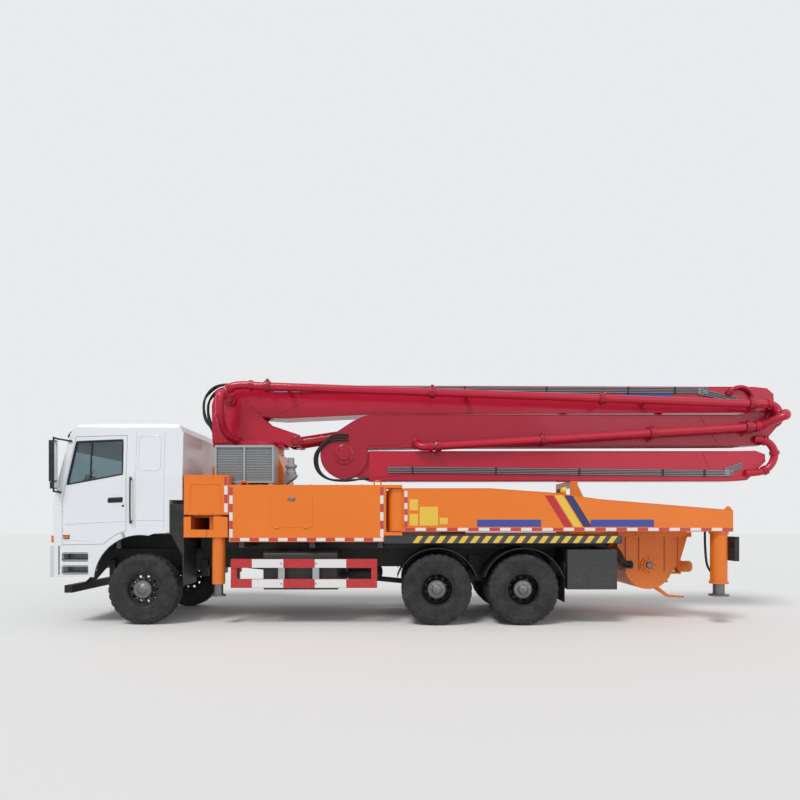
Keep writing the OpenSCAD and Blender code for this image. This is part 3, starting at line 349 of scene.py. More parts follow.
def dress(name, bm, finishes, body, soften=0.0, crease=35, blend=None):
    """The piece made of bm, with its finish or finishes, riding on its body; when blend is given it is fixed where it
    is drawn instead.
    """
    bmesh.ops.recalc_face_normals(bm, faces=bm.faces)
    mesh = bpy.data.meshes.new(name)
    bm.to_mesh(mesh)
    bm.free()
    obj = bpy.data.objects.new(name, mesh)
    bpy.context.scene.collection.objects.link(obj)
    for finish in finishes if isinstance(finishes, (list, tuple)) else [finishes]:
        mesh.materials.append(finish)
    mesh.shade_smooth()
    mesh.set_sharp_from_angle(angle=math.radians(crease))
    if soften:
        edge = obj.modifiers.new("edges", "BEVEL")
        edge.width, edge.segments, edge.limit_method, edge.angle_limit = soften, 2, "ANGLE", math.radians(40)
        edge.harden_normals = True
    if blend:
        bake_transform(obj)
    else:
        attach(obj, body)
    return obj


def plates(name, outlines, y0, y1, finish, body, soften=0.0):
    """Flat plates drawn in X and Z, all of one thickness along Y, as one piece."""
    bm = bmesh.new()
    for outline in outlines:
        panel(bm, outline, y0, y1)
    return dress(name, bm, finish, body, soften=soften)


def blocks(name, corners, finish, body, soften=0.0):
    """Boxes between pairs of opposite corners, as one piece."""
    bm = bmesh.new()
    for low, high in corners:
        slab(bm, low, high)
    return dress(name, bm, finish, body, soften=soften)


def oblong(x0, x1, z0, z1):
    """The outline of an upright rectangle."""
    return [(x0, z0), (x1, z0), (x1, z1), (x0, z1)]


def banded(name, start, run, up, count, finishes, body, out, thick=0.0025, lean=0.0):
    """A strip of film in bands of alternating colour, lying on a face whose outward direction is out."""
    bm = bmesh.new()
    start, run, up, out = Vector(start), Vector(run), Vector(up), Vector(out) * thick
    for i in range(count):
        a, b = start + run * (i / count), start + run * ((i + 1) / count)
        tilt = run.normalized() * lean
        low = [a, b, b + up + tilt, a + up + tilt]
        corners = [bm.verts.new(p) for p in low] + [bm.verts.new(p + out) for p in low]
        for q in ((0, 1, 2, 3), (7, 6, 5, 4), (0, 4, 5, 1), (1, 5, 6, 2), (2, 6, 7, 3), (3, 7, 4, 0)):
            bm.faces.new([corners[k] for k in q]).material_index = i % len(finishes)
    return dress(name, bm, finishes, body)


# ---------------------------------------------------------------- wheels
TREAD = [(0.262, -0.115), (0.270, -0.128), (0.300, -0.137), (0.306, -0.141), (0.312, -0.137), (0.360, -0.144),
         (0.412, -0.145), (0.455, -0.144), (0.462, -0.147), (0.470, -0.143), (0.510, -0.138), (0.532, -0.130),
         (0.547, -0.112), (0.552, -0.086), (0.552, -0.052), (0.540, -0.048), (0.540, -0.040), (0.554, -0.036),
         (0.555, -0.010), (0.542, -0.006)]
TREAD = TREAD + [(r, -y) for r, y in reversed(TREAD)]


def tread_cut(i, j):
    """Depth of the grooves at a point of the tread: deep over the shoulders, shallow in the middle."""
    j = min(j, len(TREAD) - 1 - j)
    if 11 <= j <= 14:
        return 0.012 if i % 6 in (0, 1) else 0.0
    if 17 <= j <= 18:
        return 0.008 if i % 3 == 0 else 0.0
    return 0.0


def tyre(name, tag, ys, x, body):
    """One tyre, or a pair on one hub, in place of its solid."""
    bm = bmesh.new()
    for y in ys:
        turned(bm, (x, y, TYRE_R), (0, 1, 0), TREAD + [TREAD[0]], steps=180,
               low=lambda i, j: tread_cut(i, j % len(TREAD)))
    bmesh.ops.remove_doubles(bm, verts=bm.verts, dist=1e-5)
    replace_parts(dress(name, bm, TYRE, body, crease=28), "tyre_" + tag)


def wheel_dressing(tag, side, x, disc_y, hub_y, dome, body):
    """Wheel nuts, the hub's cap with its own ring of bolts, the valve, and the rim's rolled lip."""
    out = (0, side, 0)
    bm = bmesh.new()
    bolt_circle(bm, (x, side * disc_y, TYRE_R), out, 0.1675, 10, 0.034, 0.026, first=0.314)
    bolt_circle(bm, (x, side * hub_y, TYRE_R), out, 0.112, 8, 0.02, 0.012)
    turned(bm, (x, side * hub_y, TYRE_R), out, [(0, -0.004), (0.135, -0.004), (0.135, 0.006), (0.09, 0.010),
                                                (0.078, 0.016), (0.07, dome), (0.045, dome + 0.012),
                                                (0, dome + 0.012)])
    curved(bm, [(x + 0.2, side * disc_y, TYRE_R + 0.03), (x + 0.205, side * (disc_y + 0.03), TYRE_R + 0.03),
                (x + 0.22, side * (disc_y + 0.06), TYRE_R + 0.035)], 0.006)
    dress("hub_and_nuts_" + tag, bm, STEEL, body, soften=0.0015)
    bm = bmesh.new()
    edge = [(0.262, 0.0), (0.274, 0.004), (0.279, 0.012), (0.274, 0.018), (0.262, 0.020), (0.256, 0.012),
            (0.262, 0.0)]
    lip_y = 1.140 if tag[0] == "f" else 1.2125
    turned(bm, (x, side * lip_y, TYRE_R), out, [(r - 0.014, y - 0.016) for r, y in edge], steps=96)
    dress("rim_lip_" + tag, bm, SATIN_BLACK, body)


for side, end in SIDES:
    tag = "f" + end[0]
    tyre("front_tyre_" + end, tag, [side * 1.025], FRONT_AXLE, "wheel_" + tag)
    wheel_dressing(tag, side, FRONT_AXLE, 1.087, 1.155, 0.03, "wheel_" + tag)
    for x, row in zip(REAR_AXLES, "mr"):
        tag = row + end[0]
        tyre("twin_tyres_" + tag, tag, [side * 0.7525, side * 1.0975], x, "wheel_" + tag)
        wheel_dressing(tag, side, x, 0.937, 1.140, 0.045, "wheel_" + tag)


# ---------------------------------------------------------------- cab
def cab_y(z):
    """Half the cab's width at a height: upright, then leaning in above the waist."""
    return 1.240 - 0.060 * max(0.0, z - 2.3) / 0.74


def screen_x(z):
    """Where the raked windscreen stands at a height."""
    return -5.875 + 0.24 * (z - 1.9) / 1.09


def screen_bow(share):
    """How far the screen bulges forwards at a share of its half width."""
    return 0.018 * (1 - share ** 2)


def screen_sheet(y_half, z0, z1, back, columns=16, rows=8, thick=0.006):
    """A bowed pane with its two faces and its edge."""
    bm = bmesh.new()
    sheets = []
    for depth in (0.0, thick):
        grid = []
        for r in range(rows + 1):
            z = z0 + (z1 - z0) * r / rows
            grid.append([bm.verts.new((screen_x(z) + back + depth - screen_bow(2 * c / columns - 1),
                                       -y_half + 2 * y_half * c / columns, z)) for c in range(columns + 1)])
        sheets.append(grid)
    outer, inner = sheets
    for r in range(rows):
        for c in range(columns):
            for g in (outer, inner):
                bm.faces.new((g[r][c], g[r][c + 1], g[r + 1][c + 1], g[r + 1][c]))
    rim = ([(0, c) for c in range(columns + 1)] + [(r, columns) for r in range(1, rows + 1)]
           + [(rows, c) for c in range(columns - 1, -1, -1)] + [(r, 0) for r in range(rows - 1, 0, -1)])
    for (r, c), (s, d) in zip(rim, rim[1:] + rim[:1]):
        bm.faces.new((outer[r][c], inner[r][c], inner[s][d], outer[s][d]))
    return bm


dress("windscreen", screen_sheet(1.062, 2.008, 2.882, 0.022), GLASS, "chassis")
SEAL_HALF = 1.06   # half the width of the screen's rubber
loop = [(-SEAL_HALF, 2.01), (SEAL_HALF, 2.01), (SEAL_HALF, 2.88), (-SEAL_HALF, 2.88)]
bm = bmesh.new()
for (ya, za), (yb, zb) in zip(loop, loop[1:] + loop[:1]):
    line = []
    for k in range(13):
        y, z = ya + (yb - ya) * k / 12, za + (zb - za) * k / 12
        line.append((screen_x(z) + 0.008 - screen_bow(y / SEAL_HALF), y, z))
    tube(bm, line, 0.016, 8)
dress("windscreen_seal", bm, HOSE, "chassis")

bm = bmesh.new()
for pivot, reach in ((-0.75, 0.62), (0.0, 0.62), (0.72, 0.6)):
    tube(bm, [(screen_x(1.94) - 0.03, pivot, 1.94), (screen_x(2.0) - 0.035, pivot + 0.03, 2.0),
              (screen_x(2.3) - 0.04, pivot + 0.3, 2.3)], 0.009, 8)
    tube(bm, [(screen_x(2.1) - 0.034, pivot - 0.02, 2.1), (screen_x(2.3) - 0.04, pivot + 0.3, 2.3),
              (screen_x(2.5) - 0.036, pivot + reach, 2.5)], 0.008, 8)
    turned(bm, (screen_x(1.94) + 0.005, pivot, 1.94), (-1, 0, 0), [(0, 0), (0.028, 0), (0.024, 0.04), (0, 0.045)], 16)
dress("wipers", bm, BLACK, "chassis")

bm = bmesh.new()
slab(bm, (-5.885, -0.98, 1.34), (-5.86, 0.98, 1.84))
for k in range(7):
    z = 1.375 + 0.066 * k
    panel(bm, [(-5.905, z), (-5.88, z + 0.006), (-5.88, z + 0.04), (-5.899, z + 0.036)], -0.96, 0.96)
for y in (-0.98, 0.95):
    slab(bm, (-5.902, y, 1.335), (-5.872, y + 0.03, 1.845))
dress("front_grille", bm, BLACK, "chassis", soften=0.004)

# the visor's section, bent back and down towards its two ends
VISOR = [(-5.775, 2.965), (-5.768, 3.03), (-5.735, 3.11), (-5.675, 3.175), (-5.60, 3.205), (-5.605, 3.19),
         (-5.665, 3.155), (-5.72, 3.095), (-5.752, 3.03), (-5.76, 2.965)]
bm = bmesh.new()
rings = []
for k in range(25):
    y = 1.1 * (k / 12 - 1)
    turn = abs(y / 1.1) ** 4
    rings.append([bm.verts.new((x + 0.05 * turn, y, z - (z - 2.90) * 0.42 * turn)) for x, z in VISOR])
for a, b in zip(rings, rings[1:]):
    for i in range(len(VISOR)):
        j = (i + 1) % len(VISOR)
        bm.faces.new((a[i], a[j], b[j], b[i]))
bm.faces.new(rings[0][::-1])
bm.faces.new(rings[-1])
for y in (-0.82, -0.3, 0.3, 0.82):
    panel(bm, [(-5.765, 3.0), (-5.755, 3.03), (-5.62, 3.07), (-5.60, 3.04)], y - 0.012, y + 0.012)
dress("sun_visor", bm, BLACK, "chassis", soften=0.003)

bm = bmesh.new()
for y in (-0.8, -0.4, 0.0, 0.4, 0.8):
    turned(bm, (-5.48, y, 3.135), (0, 0, 1), [(0, -0.02), (0.055, -0.02), (0.055, 0.012), (0.035, 0.034), (0, 0.038)],
           20)
dress("roof_marker_lamps", bm, LENS_AMBER, "chassis")

WINDOW = [(-5.655, 2.190), (-5.530, 2.860), (-4.810, 2.890), (-4.800, 2.350)]


def pane_line(inset=0.0):
    """The window's edge, with points where the door's face starts to lean in."""
    middle = Vector((sum(x for x, _ in WINDOW) / 4, sum(z for _, z in WINDOW) / 4))
    line = []
    for (xa, za), (xb, zb) in zip(WINDOW, WINDOW[1:] + WINDOW[:1]):
        for k in range(8):
            p = Vector((xa + (xb - xa) * k / 8, za + (zb - za) * k / 8))
            line.append(p + (middle - p).normalized() * inset)
    return line


def arch_line(radius):
    """Points in X and Z round the front wheel's arch."""
    return [(FRONT_AXLE + radius * math.cos(math.radians(a)), 0.690 + radius * math.sin(math.radians(a)))
            for a in range(80, 176, 5)]


for side, end in SIDES:
    out = (0, side, 0)
    door = "door_" + end
    bm = bmesh.new()
    outer = [bm.verts.new((x, side * (cab_y(z) - 0.022), z)) for x, z in pane_line(-0.006)]
    inner = [bm.verts.new((x, side * (cab_y(z) - 0.028), z)) for x, z in pane_line(-0.006)]
    middle_out = bm.verts.new((-5.19, side * (cab_y(2.57) - 0.020), 2.57))
    middle_in = bm.verts.new((-5.19, side * (cab_y(2.57) - 0.026), 2.57))
    for i in range(len(outer)):
        j = (i + 1) % len(outer)
        bm.faces.new((outer[i], outer[j], middle_out))
        bm.faces.new((inner[j], inner[i], middle_in))
        bm.faces.new((outer[i], inner[i], inner[j], outer[j]))
    dress("door_glass_" + end, bm, GLASS, door)
    bm = bmesh.new()
    line = [(x, side * (cab_y(z) - 0.006), z) for x, z in pane_line()]
    tube(bm, line + [line[0]], 0.014, 8)
    tube(bm, [(-5.30, side * (cab_y(z) - 0.012), z) for z in (2.27, 2.5, 2.7, 2.865)], 0.012, 8)
    dress("door_window_seal_" + end, bm, HOSE, door)

    bm = bmesh.new()
    panel(bm, [(-5.02, 1.905), (-4.80, 1.915), (-4.79, 1.975), (-4.80, 1.995), (-5.01, 1.985), (-5.03, 1.95)],
          side * 1.236, side * 1.246)
    curved(bm, [(-5.0, side * 1.243, 1.955), (-4.98, side * 1.262, 1.957), (-4.84, side * 1.262, 1.962),
                (-4.82, side * 1.243, 1.964)], 0.011, 10)
    turned(bm, (-4.79, side * 1.24, 1.86), out, [(0, 0), (0.017, 0), (0.017, 0.006), (0.012, 0.008), (0, 0.008)], 16)
    dress("door_handle_" + end, bm, BLACK, door, soften=0.002)

    # the arch's painted flare, its tail over the sill, and the rubber lip
    bm = bmesh.new()
    arc = arch_line(0.764)
    middle = Vector((FRONT_AXLE, 0.69))
    for (xa, za), (xb, zb) in zip(arc, arc[1:]):
        a_in, b_in = (Vector(p) + (middle - Vector(p)).normalized() * 0.045 for p in ((xa, za), (xb, zb)))
        a_out, b_out = (Vector(p) - (middle - Vector(p)).normalized() * 0.035 for p in ((xa, za), (xb, zb)))
        panel(bm, [tuple(a_out), tuple(b_out), tuple(b_in), tuple(a_in)], side * 1.225, side * 1.250)
    panel(bm, [(-4.395, 1.398), (-4.381, 1.477), (-4.12, 1.482), (-4.10, 1.46), (-4.12, 1.436), (-4.30, 1.432)],
          side * 1.225, side * 1.250)
    bmesh.ops.remove_doubles(bm, verts=bm.verts, dist=1e-5)
    dress("arch_flare_" + end, bm, WHITE, "chassis")
    bm = bmesh.new()
    tube(bm, [(x, side * 1.232, z) for x, z in arch_line(0.715)], 0.010, 8)
    dress("arch_lip_" + end, bm, BLACK, "chassis")

    bm = bmesh.new()
    for z in (0.812, 1.012):
        slab(bm, (-5.735, side * 1.05, z), (-5.335, side * 1.235, z + 0.018))
        for k in range(9):
            slab(bm, (-5.72 + 0.044 * k, side * 1.06, z + 0.018), (-5.70 + 0.044 * k, side * 1.232, z + 0.026))
        slab(bm, (-5.735, side * 1.05, z), (-5.335, side * 1.062, z + 0.108))
    dress("cab_steps_" + end, bm, STEEL, "chassis", soften=0.002)

    # lamps in the bumper, each a bright dish behind a lens
    blocks("headlamp_reflectors_" + end,
           [((-5.935, side * y0, 0.968), (-5.912, side * y1, 1.112)) for y0, y1 in ((0.81, 0.955), (0.965, 1.11))],
           ROD, "chassis", soften=0.006)
    bm = bmesh.new()
    for yc in (0.8825, 1.0375):
        turned(bm, (-5.934, side * yc, 1.04), (-1, 0, 0),
               [(0, 0), (0.06, 0), (0.062, 0.004), (0.05, 0.010), (0, 0.014)], 28)
    dress("headlamp_lenses_" + end, bm, LENS_CLEAR, "chassis")
    blocks("turn_lamps_" + end, [((-5.905, side * 1.16, 1.29), (-5.865, side * 1.236, 1.40))], LENS_AMBER, "chassis",
           soften=0.004)
    blocks("mirror_glass_" + end,
           [((-5.771, side * 1.308, 2.245), (-5.766, side * 1.392, 2.845)),
            ((-5.776, side * 1.318, 2.135), (-5.771, side * 1.382, 2.215))],
           MIRROR, "chassis", soften=0.002)

    # upright ribs of the sleeper's side, the pressed outline between them, and the rail along its foot
    bm = bmesh.new()
    for x in (-4.60, -4.16):
        tube(bm, [(x, side * (cab_y(z) + 0.001), z) for z in (1.52, 1.9, 2.3, 2.7, 3.0)], 0.007, 8)
    pane = [(-4.56, 2.955), (-4.30, 2.955), (-4.26, 2.915), (-4.26, 2.45), (-4.30, 2.41), (-4.56, 2.41),
            (-4.60, 2.45), (-4.60, 2.915)]
    pane = [p for a, b in zip(pane, pane[1:] + pane[:1]) for p in (a, ((a[0] + b[0]) / 2, (a[1] + b[1]) / 2))]
    line = [(x + 0.045, side * (cab_y(z) + 0.001), z) for x, z in pane]
    tube(bm, line + [line[0]], 0.006, 8)
    curved(bm, [(x, side * CAB_FACE, z) for x, z in ((-4.70, 1.60), (-4.62, 1.64), (-4.14, 1.64))], 0.007, 8)
    dress("cab_side_ribs_" + end, bm, WHITE, "chassis")
    bm = bmesh.new()
    curved(bm, [(x, side * CAB_FACE, z) for x, z in ((-5.70, 1.578), (-5.30, 1.600), (-4.79, 1.625))], 0.008, 8)
    curved(bm, [(x, side * CAB_FACE, z) for x, z in ((-5.70, 1.330), (-5.52, 1.328), (-5.30, 1.318))], 0.005, 8)
    dress("door_creases_" + end, bm, WHITE, door)
    blocks("side_lamp_bezel_" + end, [((-5.715, side * 1.239, 1.344), (-5.615, side * 1.2425, 1.408))], BLACK, door,
           soften=0.002)
    blocks("side_lamp_" + end, [((-5.705, side * 1.2415, 1.352), (-5.625, side * 1.252, 1.400))], LENS_AMBER, door,
           soften=0.004)
    blocks("cab_side_gaps_" + end,
           [((-5.79, side * 1.236, 0.79), (-5.772, side * 1.2415, 1.24))]
           + [((-5.725, side * 1.238, z - 0.004), (-5.335, side * 1.2425, z + 0.004))
              for z in (0.80, 0.932, 1.0, 1.132)],
           BLACK, "chassis", soften=0.001)
    bm = bmesh.new()
    curved(bm, [(-4.66, side * y, z) for y, z in ((1.243, 1.62), (1.285, 1.64), (1.285, 2.25), (1.243, 2.27))],
           0.012, 10)
    dress("grab_rail_" + end, bm, BLACK, "chassis")


def cushion(whole, low, high, crown, channels=0, place=None):
    """A crowned pad: swollen in the middle of each face, with sewn channels across its front."""
    low, high = Vector(low), Vector(high)
    half = (high - low) / 2
    middle = (high + low) / 2
    bm = bmesh.new()
    bmesh.ops.create_cube(bm, size=2.0)
    bmesh.ops.subdivide_edges(bm, edges=bm.edges[:], cuts=12, use_grid_fill=True)
    for v in bm.verts:
        p = v.co.copy()
        rounded = p.normalized() * max(abs(p.x), abs(p.y), abs(p.z)) * 1.25
        p = p.lerp(rounded, 0.22)
        swell = 1 + crown * (1 - min(1, abs(p.x))) * (1 - min(1, abs(p.y)))
        z = p.z * swell
        if channels and p.z > 0:
            z -= 0.1 * max(0.0, 1 - abs(((p.y * channels) % 1.0) - 0.5) * 14)
        v.co = middle + Vector((p.x * half.x * 0.93, p.y * half.y * 0.93, z * half.z * 0.9))
    if place:
        bm.transform(place)
    pad = bpy.data.meshes.new("pad")
    bm.to_mesh(pad)
    bm.free()
    whole.from_mesh(pad)
    bpy.data.meshes.remove(pad)


bm = bmesh.new()
for y in (-0.68, 0.68):
    cushion(bm, (-5.18, y - 0.25, 1.65), (-4.64, y + 0.25, 1.80), 0.35, channels=2)
    cushion(bm, (-0.36, -0.24, -0.065), (0.36, 0.24, 0.065), 0.4, channels=2,
            place=Matrix.Translation((-4.665, y, 2.14)) @ Matrix.Rotation(math.radians(-85), 4, "Y"))
    cushion(bm, (-0.095, -0.14, -0.045), (0.095, 0.14, 0.045), 0.3,
            place=Matrix.Translation((-4.585, y, 2.59)) @ Matrix.Rotation(math.radians(-85), 4, "Y"))
    slab(bm, (-5.12, y - 0.2, 1.502), (-4.7, y + 0.2, 1.66))
seats = dress("seat_pads", bm, CLOTH, "chassis", crease=60)
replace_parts(seats, "seats")


bm = bmesh.new()
column = Vector((0.6428, 0, 0.766))
hub = Vector((-5.44, -0.68, 2.225))
across, up = Vector((0, 1, 0)), column.cross(Vector((0, 1, 0)))


def spoke_at(a):
    """Direction from the steering wheel's hub at an angle."""
    return across * math.cos(math.radians(a)) + up * math.sin(math.radians(a))


tube(bm, [hub + spoke_at(a) * 0.225 for a in range(0, 361, 12)], 0.017, 12)
for a in (90, 210, 330):
    spoke = spoke_at(a)
    tube(bm, [hub - column * 0.02 + spoke * 0.05, hub - column * 0.03 + spoke * 0.14, hub + spoke * 0.225], 0.013, 8)
turned(bm, hub - column * 0.05, column, [(0, 0), (0.055, 0.0), (0.075, 0.02), (0.07, 0.045), (0.045, 0.055),
                                         (0, 0.057)], 28)
dress("steering_wheel", bm, BLACK, "chassis")


# ---------------------------------------------------------------- body sides
for side, end in SIDES:
    out = (0, side, 0)
    face = side * BODY_SIDE
    # red and white tape along the foot of the side box, and up its two ends
    banded("box_foot_tape_" + end, (-3.12, face, 1.312), (2.36, 0, 0), (0, 0, 0.05), 16, [TAPE_RED, TAPE_WHITE],
           "chassis", out)
    for name, x in (("front", -3.137), ("rear", -0.80)):
        banded("box_%s_tape_%s" % (name, end), (x, face, 1.37), (0, 0, 0.78), (0.05, 0, 0), 6,
               [TAPE_WHITE, TAPE_RED], "chassis", out)
    # black and yellow hazard film on the deck's skirt
    banded("skirt_hazard_film_" + end, (-0.30, side * 1.242, 1.284), (3.19, 0, 0), (0, 0, 0.108), 36,
           [TAPE_YELLOW, TAPE_BLACK], "chassis", out, lean=0.08)
    # white bands on the two planks of the side guard
    for k, z in enumerate((0.586, 0.896)):
        blocks("guard_white_bands_%s_%d" % (end, k),
               [((x, side * 1.2405, z + 0.004), (x + 0.487, side * 1.2445, z + 0.135)) for x in (-2.79, -1.815)],
               TAPE_WHITE, "chassis", soften=0.001)
    bm = bmesh.new()
    for x in (-2.385, -1.85):
        slab(bm, (x, side * 1.2395, 0.722), (x + 0.103, side * 1.2425, 0.898))
        for z in (0.655, 0.965):
            hexagon(bm, (x + 0.05, side * 1.2445, z), out, 0.024, 0.010)
    dress("guard_posts_" + end, bm, COOLER_GREY, "chassis", soften=0.001)

    bm = bmesh.new()
    panel(bm, oblong(-2.50, -1.85, 1.52, 2.01), side * 1.2485, side * 1.253)
    for x in (-2.44, -1.99):
        turned(bm, (x, side * 1.256, 1.523), (1, 0, 0), [(0, 0), (0.012, 0), (0.012, 0.08), (0, 0.08)], 14)
    dress("locker_door_" + end, bm, ORANGE, "chassis", soften=0.002)
    bm = bmesh.new()
    slab(bm, (-2.235, side * 1.252, 1.935), (-2.115, side * 1.257, 1.985))
    curved(bm, [(x, side * y, 1.96) for x, y in ((-2.22, 1.256), (-2.205, 1.269), (-2.145, 1.269), (-2.13, 1.256))],
           0.007, 8)
    dress("locker_latch_" + end, bm, STEEL, "chassis", soften=0.001)

    # pressed ribs and lifting lugs on top of the side box
    bm = bmesh.new()
    for x in (-3.02, -0.9):
        curved(bm, [(x, side * 1.0, 2.182), (x, side * 1.0, 2.24), (x + 0.05, side * 1.0, 2.262),
                    (x + 0.1, side * 1.0, 2.24), (x + 0.1, side * 1.0, 2.182)], 0.012, 10)
    for x in (-2.7, -2.3, -1.9, -1.5, -1.1):
        slab(bm, (x, side * 0.68, 2.184), (x + 0.04, side * 1.22, 2.192))
    dress("box_top_ribs_" + end, bm, ORANGE, "chassis", soften=0.003)

    # blank plates, panels, tapes and the three-colour flash on the rear beam
    beam = "beam_r" + end[0]
    face = side * BEAM_FACE
    for k, (x0, x1) in enumerate(((0.70, 1.69), (2.46, 3.44))):
        plates("blank_blue_plate_%s_%d" % (end, k), [oblong(x0, x1, 1.535, 1.645)], face, face + side * 0.003,
               PLATE_BLUE, beam, soften=0.001)
    plates("blank_yellow_panels_" + end,
           [oblong(-0.345, -0.215, 1.79, 1.96), oblong(-0.345, -0.215, 1.555, 1.735),
            oblong(-0.19, 0.095, 1.555, 1.845), oblong(0.12, 0.245, 1.575, 1.675)],
           face, face + side * 0.002, TAPE_YELLOW, beam)
    for name, start, run, up, count in (
            ("foot", (-0.42, face, 1.472), (5.08, 0, 0), (0, 0, 0.046), 31),
            ("front", (-0.425, face, 1.530), (0, 0, 0.56), (0.045, 0, 0), 6)):
        banded("beam_%s_tape_%s" % (name, end), start, run, up, count, [TAPE_RED, TAPE_WHITE], beam, out)
    for k, (x0, finish) in enumerate(((1.75, GUARD_RED), (1.90, TAPE_YELLOW), (2.05, NAVY))):
        plates("beam_flash_%s_%d" % (end, k),
               [[(x0 + 0.30, 1.535), (x0 + 0.43, 1.535), (x0 + 0.13, 2.02), (x0, 2.02)]],
               face, face + side * 0.002, finish, beam)
    bm = bmesh.new()
    panel(bm, [(4.545, 1.79), (4.665, 1.79), (4.655, 1.815), (4.62, 1.855), (4.59, 1.855), (4.555, 1.815)],
          side * 1.205, side * 1.225)
    turned(bm, (4.605, side * 1.20, 1.828), out, [(0, 0), (0.014, 0), (0.014, 0.03), (0, 0.03)], 16)
    dress("beam_lug_" + end, bm, ORANGE, beam, soften=0.002)
    # weld beads along the beam's top and foot flanges
    bm = bmesh.new()
    for line in ([(-0.42, 1.4635), (4.66, 1.4635)],
                 [(-0.42, 2.127), (0.9, 2.127), (1.9, 2.058), (2.6, 1.958), (4.66, 1.788)]):
        tube(bm, [(x, side * 1.2495, z) for x, z in line], 0.005, 8)
    dress("beam_weld_beads_" + end, bm, ORANGE, beam)
    # collars on the leg, and the jack's two hoses
    bm = bmesh.new()
    for z in (0.66, 1.44):
        turned(bm, (4.52, side * 1.10, z), (0, 0, 1), [(0.1255, -0.018), (0.142, -0.018), (0.142, 0.018),
                                                       (0.1255, 0.018), (0.1255, -0.018)], 36)
    dress("leg_collars_" + end, bm, ORANGE, beam, soften=0.002)
    bm = bmesh.new()
    for y in (0.95, 0.98):
        curved(bm, [(4.38, side * y, 1.76), (4.37, side * y, 1.5), (4.36, side * (y + 0.03), 1.2),
                    (4.37, side * (y + 0.06), 0.95), (4.42, side * (y + 0.08), 0.82)], 0.011, 10)
    dress("leg_hoses_" + end, bm, HOSE, beam)

    # hood over the front arm: tape, bolts and the pressed outline
    banded("hood_tape_" + end, (-3.215, side * BODY_SIDE, 1.76), (0, 0, 0.55), (0.05, 0, 0), 4,
           [TAPE_WHITE, TAPE_RED], "chassis", out)
    bm = bmesh.new()
    for x in (-3.80, -3.60, -3.40, -3.25):
        for z in (1.75, 2.31):
            hexagon(bm, (x, side * 1.249, z), out, 0.018, 0.007)
    dress("hood_bolts_" + end, bm, ORANGE, "chassis")
    bm = bmesh.new()
    arch = smooth_line([(-3.74, 1.80), (-3.74, 2.14), (-3.70, 2.19), (-3.62, 2.20), (-3.38, 2.20), (-3.31, 2.19),
                        (-3.275, 2.14), (-3.275, 1.80)], 5)
    tube(bm, [(p.x, side * BEAM_FACE, p.y) for p in arch], 0.008, 8)
    dress("hood_pressing_" + end, bm, ORANGE, "chassis")

# blank plates on the boom, and the lamp on the left beam
for side, end in SIDES:
    plates("blank_boom_plate_" + end, [oblong(3.285, 4.192, 3.715, 3.806)], side * 0.2252, side * 0.229, PLATE_BLUE,
           "section_1", soften=0.001)
bm = bmesh.new()
turned(bm, (2.08, -1.12, 2.10), (0.9, -0.1, -0.15), [(0, -0.05), (0.04, -0.05), (0.062, -0.01), (0.066, 0.03),
                                                     (0.058, 0.03), (0, 0.022)], 28)
tube(bm, [(2.08, -1.12, 2.02), (2.07, -1.12, 2.06), (2.06, -1.12, 2.09)], 0.012, 10)
dress("work_lamp", bm, YELLOW, "beam_rl")

# lattice of the oil cooler: slats in its two openings
bm = bmesh.new()
for x0, x1 in ((-3.41, -2.985), (-2.955, -2.53)):
    for k in range(20):
        z = 2.272 + 0.026 * k
        corners = [(x0, -0.985, z), (x1, -0.985, z), (x1, -0.968, z + 0.016), (x0, -0.968, z + 0.016)]
        first = [bm.verts.new(c) for c in corners]
        second = [bm.verts.new((x, y, zz + 0.003)) for x, y, zz in corners]
        bm.faces.new(first)
        bm.faces.new(second[::-1])
        for i in range(4):
            j = (i + 1) % 4
            bm.faces.new((first[j], first[i], second[i], second[j]))
dress("cooler_slats", bm, COOLER_GREY, "chassis")

# two air tanks under the frame, each with its straps
for name, y in (("left", -0.26), ("right", 0.16)):
    bm = bmesh.new()
    turned(bm, (-1.40, y, 0.72), (1, 0, 0), [(0, 0), (0.06, 0.008), (0.10, 0.035), (0.115, 0.08), (0.115, 0.52),
                                             (0.10, 0.565), (0.06, 0.592), (0, 0.60)], 28)
    for x in (-1.28, -0.95):
        turned(bm, (x, y, 0.72), (1, 0, 0), [(0.114, 0), (0.12, 0.002), (0.12, 0.038), (0.114, 0.04)], 28)
        slab(bm, (x, y - 0.02, 0.83), (x + 0.04, y + 0.02, 0.90))
    dress("air_tank_" + name, bm, SATIN_BLACK, "chassis")


# ---------------------------------------------------------------- boom
PIPE_Y = -0.545      # middle of the delivery pipe
PIPE_R = 0.068
INNER_FACE = 0.2255  # just outside the first section's webs
OUTER_FACE = 0.4405  # just outside the second and third sections' near webs
PIVOT, KNUCKLE_1, KNUCKLE_2, KNUCKLE_3 = (-3.40, 3.70), (5.785, 3.358), (-1.434, 2.735), (5.539, 2.686)


def bend(name, body, cuffs, points, radius=PIPE_R):
    """A bent length of pipe along a smooth curve, with a cuff at each of the numbered points of the curve."""
    bm = bmesh.new()
    line = smooth_line(points, 8)
    tube(bm, line, radius, 20)
    for k in cuffs:
        ahead = (line[min(k + 1, len(line) - 1)] - line[max(k - 1, 0)]).normalized()
        turned(bm, line[k], ahead, [(radius, -0.03), (radius + 0.02, -0.03), (radius + 0.02, -0.008),
                                    (radius + 0.012, -0.004), (radius + 0.012, 0.004), (radius + 0.02, 0.008),
                                    (radius + 0.02, 0.03), (radius, 0.03)], 24)
    dress(name, bm, CRIMSON, body)


